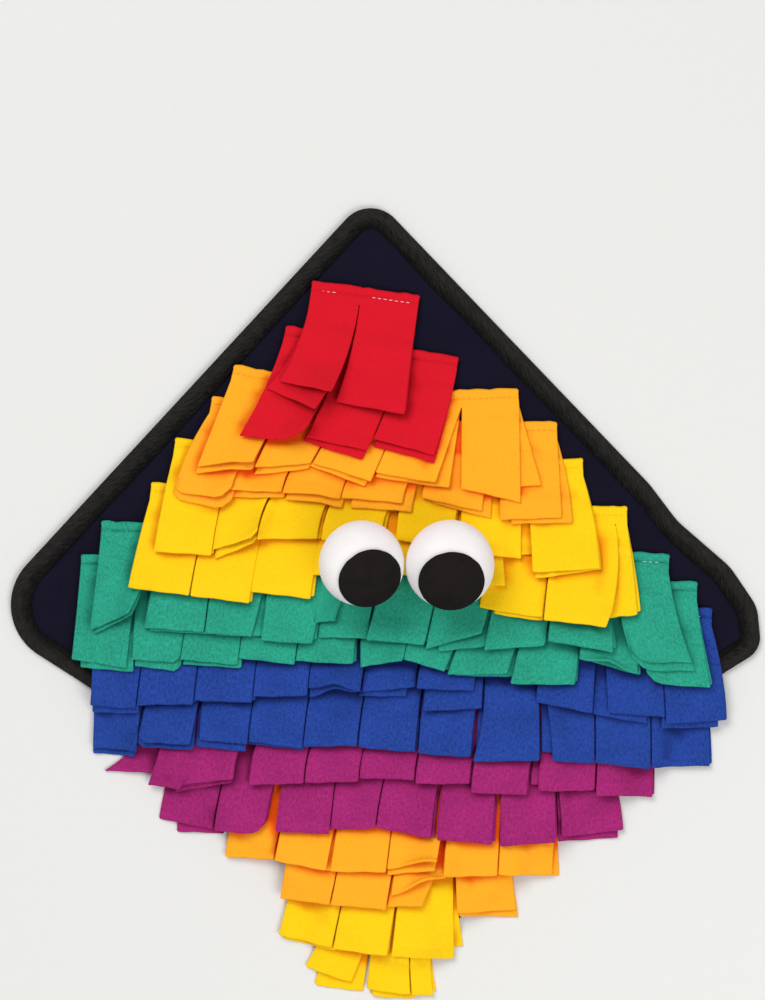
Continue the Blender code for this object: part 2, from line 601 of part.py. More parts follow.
def make_eye(eye, ground, material):
    """A ball whose underside takes the shape of the flaps that it sits on."""
    tilt = np.linspace(0, math.pi, EYE_RINGS * 2 + 1)[1:-1]
    turn = np.arange(EYE_SIDES) / EYE_SIDES * 2 * math.pi
    wide = eye.radius * np.sin(tilt)[:, None]
    x, y = eye.x + wide * np.cos(turn), eye.y + wide * np.sin(turn)
    seat = ground.highest_near(np.array(eye.x), np.array(eye.y), EYE_SEAT)
    centre = float(seat) + EYE_BELOW
    tall = np.where(tilt < math.pi / 2, EYE_ABOVE, EYE_BELOW) * np.cos(tilt)
    z = np.broadcast_to((centre + tall)[:, None], x.shape).copy()
    below = tilt > math.pi / 2
    z[below] = np.maximum(z[below], ground.highest_near(x[below], y[below], 6.0))
    rings = np.dstack((x, y, z)).reshape(-1, 3)
    bottom = float(ground.highest_near(np.array(eye.x), np.array(eye.y), 6.0))
    points = np.vstack((rings, (eye.x, eye.y, centre + EYE_ABOVE), (eye.x, eye.y, bottom)))
    top, low, last = len(rings), len(rings) + 1, (len(tilt) - 1) * EYE_SIDES
    faces = []
    for i in range(EYE_SIDES):
        j = (i + 1) % EYE_SIDES
        faces += [(top, i, j), (low, last + j, last + i)]
        for ring in range(0, last, EYE_SIDES):
            faces += [(ring + i, ring + EYE_SIDES + i, ring + EYE_SIDES + j),
                      (ring + i, ring + EYE_SIDES + j, ring + j)]
    add_solid("eye_" + eye.name, points, faces, material, smooth=True)
    return centre


def make_pupil(eye, centre, material):
    """A round of felt laid on the ball, its middle tipped down from the top and to one side."""
    down, side = math.radians(eye.down), math.radians(eye.side)
    axis = np.array((math.sin(down) * math.sin(side), -math.sin(down) * math.cos(side), math.cos(down)))
    across = np.cross((0, -1, 0), axis)
    across /= np.linalg.norm(across)
    along = np.cross(axis, across)
    away = math.radians(eye.spread) * np.arange(1, PUPIL_RINGS + 1) / PUPIL_RINGS
    turn = np.arange(EYE_SIDES) / EYE_SIDES * 2 * math.pi
    ring = across * np.cos(turn)[:, None] + along * np.sin(turn)[:, None]
    facing = np.cos(away)[:, None, None] * axis + np.sin(away)[:, None, None] * ring
    facing = np.vstack((axis, facing.reshape(-1, 3)))
    size = np.array((eye.radius, eye.radius, EYE_ABOVE))
    ball, normal = facing * size, facing / size
    normal /= np.linalg.norm(normal, axis=1, keepdims=True)
    middle = np.array((eye.x, eye.y, centre))
    inner, outer = middle + ball + normal * CLEAR, middle + ball + normal * (CLEAR + PUPIL)
    other = len(outer)
    faces = []
    for i in range(EYE_SIDES):
        j = (i + 1) % EYE_SIDES
        faces += [(0, 1 + i, 1 + j), (other, other + 1 + j, other + 1 + i)]
        for k in range(1, 1 + (PUPIL_RINGS - 1) * EYE_SIDES, EYE_SIDES):
            a, b, c, d = k + i, k + EYE_SIDES + i, k + EYE_SIDES + j, k + j
            faces += [(a, b, c, d), (other + d, other + c, other + b, other + a)]
        a, b = 1 + (PUPIL_RINGS - 1) * EYE_SIDES + i, 1 + (PUPIL_RINGS - 1) * EYE_SIDES + j
        faces.append((b, a, a + other, b + other))
    add_solid("pupil_" + eye.name, np.vstack((outer, inner)), faces, material, smooth=True)


def main():
    for old in list(bpy.data.objects):
        bpy.data.objects.remove(old, do_unlink=True)
    materials = {name: make_material(name) for name in COLOURS}
    make_panel(materials)
    make_binding(materials)
    ground = Ground()
    make_strips(ground, materials)
    for eye in EYES:
        centre = make_eye(eye, ground, materials["white"])
        make_pupil(eye, centre, materials["black"])


main()
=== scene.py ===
import math
import bpy
import numpy as np
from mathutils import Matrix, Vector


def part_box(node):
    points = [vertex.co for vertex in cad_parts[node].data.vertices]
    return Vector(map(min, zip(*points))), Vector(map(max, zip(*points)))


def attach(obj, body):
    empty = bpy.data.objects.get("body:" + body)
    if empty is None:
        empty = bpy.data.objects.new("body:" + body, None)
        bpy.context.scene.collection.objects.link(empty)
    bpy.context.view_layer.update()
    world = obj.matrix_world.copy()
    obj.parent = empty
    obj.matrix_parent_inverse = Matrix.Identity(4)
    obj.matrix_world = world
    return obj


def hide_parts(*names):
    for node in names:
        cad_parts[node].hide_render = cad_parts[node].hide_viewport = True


# A snuffle mat lying face up: a bound square with rows of slit fleece strips and two stuffed eyes.
# Lengths here are in millimetres, measured from the frame's origin, and mm makes them metres.

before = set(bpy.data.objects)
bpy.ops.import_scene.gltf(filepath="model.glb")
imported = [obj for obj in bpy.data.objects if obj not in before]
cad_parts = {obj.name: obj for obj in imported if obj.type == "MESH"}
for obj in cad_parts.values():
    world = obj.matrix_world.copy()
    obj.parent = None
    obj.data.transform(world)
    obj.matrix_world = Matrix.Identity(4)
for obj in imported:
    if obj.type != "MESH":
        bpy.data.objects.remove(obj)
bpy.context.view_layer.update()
mm = 0.001

# Materials


class Wire:  # an output socket; sums on it add Math nodes
    def __init__(self, tree, socket):
        self.tree = tree
        self.socket = socket

    def maths(self, operation, first, second):
        node = self.tree.nodes.new("ShaderNodeMath")
        node.operation = operation
        plug(self.tree, node.inputs[0], first)
        plug(self.tree, node.inputs[1], second)
        return Wire(self.tree, node.outputs[0])

    def __add__(self, other):
        return self.maths("ADD", self, other)

    def __radd__(self, other):
        return self.maths("ADD", other, self)

    def __mul__(self, other):
        return self.maths("MULTIPLY", self, other)

    def __rmul__(self, other):
        return self.maths("MULTIPLY", other, self)


def plug(tree, place, value):  # links a wire, and sets a number or a colour
    if isinstance(value, Wire):
        tree.links.new(value.socket, place)
    else:
        place.default_value = value


class Finish:  # a material round one Principled shader, whose constant sockets are set directly
    def __init__(self, name, constants):
        self.material = bpy.data.materials.new(name)
        self.material.use_nodes = True
        self.tree = self.material.node_tree
        self.shader = self.tree.nodes["Principled BSDF"]
        for socket, value in constants.items():
            self.shader.inputs[socket].default_value = value

    # any node: its settings first, then its sockets
    def add(self, kind, settings, sockets, output=0):
        node = self.tree.nodes.new("ShaderNode" + kind)
        for setting, value in settings.items():
            setattr(node, setting, value)
        for socket, value in sockets.items():
            plug(self.tree, node.inputs[socket], value)
        return Wire(self.tree, node.outputs[output])

    def blend(self, share, first, second):  # colours: the first where share is 0, the second where it is 1
        return self.add("Mix", {"data_type": "RGBA"}, {0: share, 6: first, 7: second}, 2)

    def noise(self, place, size, detail=2.0, roughness=0.5):  # grey grain of about this size
        sockets = {"Vector": place, "Scale": 1 / size, "Detail": detail, "Roughness": roughness}
        return self.add("TexNoise", {}, sockets)

    def spread(self, value, low, high):  # low to high becomes 0 to 1, clipped
        return self.add("MapRange", {}, {"Value": value, "From Min": low, "From Max": high})

    def scaled(self, place, scale):
        return self.add("Mapping", {}, {"Vector": place, "Scale": scale})

    def cloth(self):  # the piece's own UV map, in centimetres across and along the cloth
        return self.add("UVMap", {"uv_map": "cloth"}, {})

    def place(self):  # Object coordinates
        return self.add("TexCoord", {}, {}, 3)

    def show(self, colour, height, depth):  # depth of the relief in mm
        plug(self.tree, self.shader.inputs["Base Color"], colour)
        relief = self.add("Bump", {}, {"Height": height, "Distance": depth * mm, "Strength": 1.0})
        plug(self.tree, self.shader.inputs["Normal"], relief)


def linear(red, green, blue, shade=1.0):  # a colour as seen on screen, 0 to 255, made linear
    channels = [c / 255 for c in (red, green, blue)]
    channels = [c / 12.92 if c <= 0.04 else ((c + 0.055) / 1.055) ** 2.4 for c in channels]
    return (*[c * shade for c in channels], 1.0)


fleeceLook = {
    "napSize": 0.05,  # cm, one tuft of the nap across
    "napLong": 1.6,  # a tuft's length in its widths
    "mottleSize": 0.13,  # cm, the paler and darker patches
    "broadSize": 1.6,  # cm, and the wide ones
    "span": (0.34, 0.66),  # of the grain, from dark to pale
    "napDepth": 0.22,  # mm
    "sheen": 0.25,
    # painted shade on the fleece where it lies below its surroundings, near and wide
    "paintedShadeNear": (5.0, 0.6, 2.3),  # mm: how far round a spot its surroundings count, how far
    "paintedShadeWide": (12.0, 2.5, 7.0),  # below them it starts to darken, and over what depth it goes dark
}
fleeceColours = {  # on screen: out in the light, and as painted shade down between flaps; and how strongly the nap mottles it
    "red": {"seen": (213, 16, 37), "hollow": (176, 2, 22), "mottle": 0.14},
    "orange": {"seen": (255, 172, 34), "hollow": (244, 84, 6), "mottle": 0.11},
    "yellow": {"seen": (251, 205, 15), "hollow": (240, 150, 2), "mottle": 0.10},
    "green": {"seen": (41, 160, 133), "hollow": (16, 112, 92), "mottle": 0.5},
    "blue": {"seen": (35, 68, 155), "hollow": (14, 30, 92), "mottle": 0.6},
    "purple": {"seen": (164, 37, 113), "hollow": (118, 14, 74), "mottle": 0.5},
}


def makeFleece(colour):
    # grain = 0.4 nap + 0.45 mottle + 0.15 broad, and the hollow attribute paints shade on what lies deep
    # between flaps
    look = fleeceColours[colour]
    finish = Finish("fleece_" + colour, {
        "Roughness": 0.95, "Specular IOR Level": 0.2, "Sheen Weight": fleeceLook["sheen"],
        "Sheen Roughness": 0.6, "Sheen Tint": linear(*look["seen"]),
    })
    along = finish.scaled(finish.cloth(), (1.0, 1 / fleeceLook["napLong"], 1.0))
    nap = finish.noise(along, fleeceLook["napSize"], 3.0, 0.6)
    mottle = finish.noise(along, fleeceLook["mottleSize"], 3.0, 0.65)
    broad = finish.noise(finish.cloth(), fleeceLook["broadSize"])
    grain = finish.spread(nap * 0.4 + mottle * 0.45 + broad * 0.15, *fleeceLook["span"])
    dark = linear(*look["seen"], 1 - look["mottle"])
    pale = linear(*look["seen"], 1 + look["mottle"] * 0.6)
    # painted shade: towards the hollow colour where the cloth lies deep between flaps
    hollow = finish.add("Attribute", {"attribute_name": "hollow"}, {}, 2)
    colour = finish.blend(hollow, finish.blend(grain, dark, pale), linear(*look["hollow"]))
    finish.show(colour, nap * 0.55 + mottle * 0.45, fleeceLook["napDepth"])
    return finish.material


tapeLook = {
    "dark": (3, 3, 3),
    "pale": (47, 44, 41),
    "tilt": 24,  # degrees that the weave slants
    "streak": 0.075,  # cm, a streak across
    "streakLong": 0.14,  # its width as a share of its length
    "ribPitch": 0.11,  # cm
    "fuzz": 0.07,
    "patch": 0.9,
    "paintedCrownLight": (2.35, 1.75),  # cm over the tape, from its inner hem, darkened as painted shade, to its crown, paled as painted light
    "span": (0.42, 0.7),
    "depth": 0.3,  # mm
}


def makeTape():
    # slanting streaks, fuzz, patches and the crown's painted light make the shade; slanting ribs are in the
    # bump alone
    look = tapeLook
    finish = Finish("black_tape", {"Roughness": 0.85, "Specular IOR Level": 0.12})
    cloth = finish.cloth()
    slant = (0.0, 0.0, math.radians(look["tilt"]))
    tilted = finish.add("Mapping", {}, {"Vector": cloth, "Rotation": slant})
    streaks = finish.noise(finish.scaled(tilted, (look["streakLong"], 1.0, 1.0)), look["streak"], 3.0)
    ribs = finish.add("TexWave", {"wave_profile": "SIN"}, {
        "Vector": tilted, "Scale": 1 / look["ribPitch"] / math.pi,
        "Distortion": 1.2, "Detail": 2.0, "Detail Scale": 2.0,
    })
    fuzz = finish.noise(cloth, look["fuzz"], 3.0, 0.6)
    patches = finish.noise(cloth, look["patch"], 3.0)
    # painted light: paler over the tape's fold and crown, darker towards its inner hem
    paintedCrownLight = finish.spread(finish.add("SeparateXYZ", {}, {"Vector": cloth}, 1), *look["paintedCrownLight"])
    shade = streaks * 0.4 + fuzz * 0.35 + patches * 0.1 + paintedCrownLight * 0.15
    shade = finish.spread(shade, *look["span"])
    colour = finish.blend(shade, linear(*look["dark"]), linear(*look["pale"]))
    finish.show(colour, ribs * 0.3 + fuzz * 0.35 + streaks * 0.35, look["depth"])
    return finish.material


grainLooks = {  # fine: the grain's size in m, its detail and roughness; share: its part in the shade,
    # which goes over span from the first of shades, in shares of the colour, to the second
    "navy_cloth": {
        "seen": (19, 17, 33), "shades": (0.8, 1.25), "fine": (0.0006, 2.0), "broad": 0.03,
        "share": 0.6, "span": (0.35, 0.65), "depth": 0.12,
        "shader": {"Roughness": 0.9, "Specular IOR Level": 0.08},
    },
    "white_cloth": {
        "seen": (246, 242, 242), "shades": (0.93, 1.0), "fine": (0.0007, 3.0), "broad": 0.012,
        "share": 0.4, "span": (0.3, 0.7), "depth": 0.1,
        "shader": {"Roughness": 0.8, "Specular IOR Level": 0.3, "Sheen Weight": 0.2,
                   "Subsurface Weight": 0.15, "Subsurface Scale": 0.002},
    },
    "black_felt": {
        "seen": (29, 25, 25), "shades": (0.7, 1.4), "fine": (0.0005, 3.0, 0.65), "broad": 0.008,
        "share": 0.6, "span": (0.3, 0.7), "depth": 0.25,
        "shader": {"Roughness": 0.95, "Specular IOR Level": 0.08},
    },
}


def makeGrained(name):
    look = grainLooks[name]
    finish = Finish(name, look["shader"])
    place = finish.place()
    fine = finish.noise(place, *look["fine"])
    shade = fine * look["share"] + finish.noise(place, look["broad"]) * (1 - look["share"])
    dark, pale = [linear(*look["seen"], share) for share in look["shades"]]
    finish.show(finish.blend(finish.spread(shade, *look["span"]), dark, pale), fine, look["depth"])
    return finish.material


def makeThread(name, seen):
    finish = Finish("thread_" + name, {"Roughness": 0.6, "Specular IOR Level": 0.4, "Sheen Weight": 0.2})
    twist = finish.noise(finish.place(), 0.0003, 2.0)
    finish.show(finish.blend(twist, linear(*seen, 0.8), linear(*seen)), twist, 0.05)
    return finish.material


# Meshes


def unit(vectors):
    return vectors / np.linalg.norm(vectors, axis=-1, keepdims=True)


def runAlong(points):  # how far along a line each of its points lies
    return np.concatenate(((0,), np.cumsum(np.linalg.norm(np.diff(points, axis=0), axis=1))))


def putThing(name, data):
    thing = bpy.data.objects.new(name, data)
    bpy.context.scene.collection.objects.link(thing)
    return thing


def putIn(name, points, quads, uv, materials, slots=None, triangles=None):
    # points in mm; uv per point in cm; triangles close the poles
    mesh = bpy.data.meshes.new(name)
    loops = quads.ravel()
    sizes = np.full(len(quads), 4)
    if triangles is not None:
        loops = np.concatenate((loops, triangles.ravel()))
        sizes = np.concatenate((sizes, np.full(len(triangles), 3)))
    mesh.vertices.add(len(points))
    mesh.vertices.foreach_set("co", (points * mm).ravel())
    mesh.loops.add(len(loops))
    mesh.loops.foreach_set("vertex_index", loops)
    mesh.polygons.add(len(sizes))
    mesh.polygons.foreach_set("loop_start", np.concatenate(((0,), np.cumsum(sizes)[:-1])))
    mesh.polygons.foreach_set("use_smooth", np.ones(len(sizes), bool))
    if slots is not None:
        mesh.polygons.foreach_set("material_index", slots)
    layer = mesh.uv_layers.new(name="cloth")
    layer.data.foreach_set("uv", uv[loops].ravel())
    for material in materials:
        mesh.materials.append(material)
    mesh.update(calc_edges=True)
    mesh.validate()
    return putThing(name, mesh)


def gridQuads(rows, columns, closedRows=False, closedColumns=False):
    # corners (r, c), (r + 1, c), (r + 1, c + 1), (r, c + 1) of every cell
    r, c = np.arange(rows if closedRows else rows - 1), np.arange(columns if closedColumns else columns - 1)
    r, c = np.meshgrid(r, c, indexing="ij")
    below, beside = (r + 1) % rows, (c + 1) % columns
    corners = (r * columns + c, below * columns + c, below * columns + beside, r * columns + beside)
    return np.stack([k.ravel() for k in corners], axis=1)


def poleCaps(around, last, pole):
    # triangles from two points, pole and the next, to the first ring and to the one that starts at last
    k = np.arange(around)
    beside = (k + 1) % around
    caps = (np.full(around, pole), k, beside), (np.full(around, pole + 1), last + beside, last + k)
    return np.hstack(caps).T


def smoothNoise(count, knots, random):  # a closed wavy line between -1 and 1, through random knots
    steps = np.arange(count) / count * knots
    low = steps.astype(int)
    t = (1 - np.cos((steps - low) * math.pi)) / 2
    heights = random.uniform(-1, 1, knots)
    return heights[low % knots] * (1 - t) + heights[(low + 1) % knots] * t


# The mat's outline

matShape = {
    "corners": {  # where the sides would meet, and the radius there, anticlockwise
        "top": (-8.9, 221.4, 18),
        "left": (-221.0, -8.0, 32),
        "lowerLeft": (-160.7, -46.4, 40),
        "bottom": (9.5, -199.3, 19),
        "lowerRight": (182.2, -38.9, 30),
        "right": (203.0, -26.0, 13),
        "rightBend": (200.6, -2.7, 20),
        "rightTurn": (186.0, 18.9, 30),
        "upperBend": (157.4, 43.7, 40),
        "upperTurn": (142.3, 63.7, 40),
    },
    "panelTop": 3.4,
    "marginLow": 1.1,  # the panel's edge inside the tape: its underside, its top, and how far in
    "marginTop": 3.1,
    "marginInset": 1.8,
    "centre": (-2.0, 8.0),
    "pucker": 0.25,  # how far the panel swells beside the tape
    "puckers": 90,
    "puckerFade": (3, 9),  # mm from the rim over which the puckers grow, and over which they fade
    "faceRise": (0.05, 6),  # how much the face rises, and over how far
    "faceRings": (46, 1.15),  # its rings, and how much closer together they lie near the tape
    "tapeWide": 11.0,
    "tapeThick": 0.8,
    "tapeTop": 4.2,
    "hem": (9.4, 0.35, 0.7),  # the tape's seam: how far in, how deep and how wide
    "tapeWander": (0.5, 40),  # how far its inner hem strays, and how often
    "tapePuff": (0.25, 130),  # the same for its crown
    "clear": 0.3,
    "pathStep": 1.4,
}


def outlinePath():
    # an arc at each corner, joined by straight sides, then points at equal steps round it
    corners = np.array(list(matShape["corners"].values()), float)
    spots, radii = corners[:, :2], corners[:, 2]
    before = np.roll(spots, 1, axis=0) - spots
    after = np.roll(spots, -1, axis=0) - spots
    before, after = unit(before), unit(after)
    turn = math.pi - np.arccos((before * after).sum(axis=1))
    hollow = before[:, 0] * after[:, 1] - before[:, 1] * after[:, 0] > 0
    middle = unit(before + after)
    centre = spots + middle * (radii / np.cos(turn / 2))[:, None]
    facing = np.arctan2(-middle[:, 1], -middle[:, 0])
    sweep = np.where(hollow, -turn, turn)[:, None] * (np.arange(25) / 24 - 0.5)
    angle = facing[:, None] + sweep
    arcs = centre[:, None] + radii[:, None, None] * np.stack((np.cos(angle), np.sin(angle)), axis=-1)
    loop = arcs.reshape(-1, 2)
    loop = np.vstack((loop, loop[:1]))
    run = runAlong(loop)
    count = int(run[-1] / matShape["pathStep"])
    at = np.arange(count) / count * run[-1]
    points = np.stack([np.interp(at, run, loop[:, k]) for k in (0, 1)], axis=1)
    points = np.roll(points, -points[:, 1].argmin(), axis=0)  # the tape's ends meet under the lowest flaps
    ahead = unit(np.roll(points, -1, axis=0) - np.roll(points, 1, axis=0))
    inward = np.stack((-ahead[:, 1], ahead[:, 0]), axis=1)
    return points, inward, at


def inside(loop, x, y):  # an odd number of sides crossed on the way out
    crossed = np.zeros(x.shape, bool)
    for (ax, ay), (bx, by) in zip(loop, np.roll(loop, -1, axis=0)):
        if ay != by:
            crossed ^= ((ay > y) != (by > y)) & (x < ax + (y - ay) * (bx - ax) / (by - ay))
    return crossed


# The height of what lies on the floor so far


class Ground:
    cell = 0.5
    half = 240.0
    spotStep = 0.35  # finer than a cell, even across its corners

    def __init__(self, path, inward):
        self.count = int(2 * self.half / self.cell)
        middles = (np.arange(self.count) + 0.5) * self.cell - self.half
        x, y = np.meshgrid(middles, middles, indexing="ij")
        self.top = np.where(inside(path[::3], x, y), matShape["tapeTop"], 0.0)
        self.top[inside((path + inward * matShape["tapeWide"])[::3], x, y)] = matShape["panelTop"]

    def cells(self, x, y):
        low = [np.clip(((v + self.half) / self.cell).astype(int), 0, self.count - 1) for v in (x, y)]
        return low[0], low[1]

    def least(self, x, y, gap):  # on the floor itself, or clear of what lies there
        height = self.top[self.cells(x, y)]
        return np.where(height > 0, height + gap, 0.0)

    def highestNear(self, x, y, reach, gap):
        steps = np.linspace(-reach, reach, 5)
        across, along = np.meshgrid(steps, steps)
        near = across**2 + along**2 <= reach**2 * 1.1
        return self.least(x[..., None] + across[near], y[..., None] + along[near], gap).max(axis=-1)

    def around(self, reach):  # the mean height within a square of this half side, for every cell
        cells = int(reach / self.cell)
        total = np.pad(self.top, cells + 1, mode="edge").cumsum(axis=0).cumsum(axis=1)
        side = 2 * cells + 1
        square = total[side:, side:] - total[:-side, side:] - total[side:, :-side] + total[:-side, :-side]
        return square[: self.count, : self.count] / side**2

    def lay(self, grid):  # a grid of points, spread over its cells finely enough to leave no hole
        down = np.linalg.norm(np.diff(grid[..., :2], axis=0), axis=2).max()
        across = np.linalg.norm(np.diff(grid[..., :2], axis=1), axis=2).max()
        s = np.linspace(0, 1, math.ceil(down / self.spotStep) + 1)[:, None, None, None, None]
        t = np.linspace(0, 1, math.ceil(across / self.spotStep) + 1)[None, :, None, None, None]
        upper = grid[:-1, :-1] * (1 - t) + grid[:-1, 1:] * t
        lower = grid[1:, :-1] * (1 - t) + grid[1:, 1:] * t
        spots = (upper * (1 - s) + lower * s).reshape(-1, 3)
        np.maximum.at(self.top, self.cells(spots[:, 0], spots[:, 1]), spots[:, 2])


# The fleece strips

fleeceCut = {
    "thick": 1.5,
    "header": 10.0,  # from the fold to the top of the slits
    "slit": 0.3,  # width of a slit at its top
    "apart": 0.7,  # least between two feet
    "flare": 0.04,  # how much wider each half of a foot lies, in shares of its width
    "gap": 0.3,  # between layers
    "limp": 0.2,  # how sharply a flap bends over an edge, in 1/mm
    "shoulder": 14.0,  # where a flap leaves its header, it bends down over this far
    "underSide": (0.8, 2.5),  # a lower layer that doesn't show lies this far to the right
    "underLong": (-2.5, -1.0),  # and is this much longer
    "edgeRound": 0.7,  # radius of a cut edge
    "stitchDepth": 5.0,  # the seam's distance from the fold
    "groove": {  # the seam's depth
        "red": 0.7, "orange": 0.35, "yellow": 0.3, "green": 0.9, "blue": 0.8, "purple": 0.7,
    },
    "grooveWide": 0.6,
    "seamWander": 0.35,  # how far the seam strays to either side
    "seamEvery": 5,  # columns from one stray wave to the next
    "foldWander": 0.45,  # how far the fold strays
    "foldWaves": 13,  # and how often along a flap
    "foldCorner": 1.6,  # radius of the header's upper corners
    "wave": 1.2,  # how far a foot may wave up
    "waveLeast": 0.2,  # the least share of that
    "waveBeats": (0.5, 1.3),  # how many waves it has
    "ragged": 0.3,  # how uneven a foot's edge is cut
    "near": 1.5,  # how far round a point a flap clears what is under it
    "headerNear": 1.0,
    "evenLow": 12,  # the header's underside is evened over so many 400ths of the fold
    "evenRise": 16,  # and its rise over so many
    "rise": 4,  # most that it rises from its seam to the slits' top
    "ahead": 26,  # how far down the flaps it looks for an edge to clear
    "settling": 260,  # rounds of settling
    "down": 22,  # cells of a flap
    "across": 8,
}
plainFlap = {
    "lift": (0, 0),  # how far the foot's left and right corners stand up
    "narrow": (0, 0),  # shares of the foot's width that its sides have rolled in
    "under": None,  # the lower layer's foot: to the right, lower, and its right end turned up
    "underNarrow": None,  # and its own narrow
    "round": (1.0, 1.0),  # radius of the foot's left and right corners
    "bow": (0, 0),  # how far the bend of its left and right sides lies to the right
    "over": 0,  # 1 where it lies over its neighbours
    "arch": 0,  # how much shorter the foot's middle is, where it bulges up
    "curl": None,  # the foot rolls up: how long a piece, its radius, and where it is most, 0 to 1
    "hang": None,  # its own in place of the strip's
}
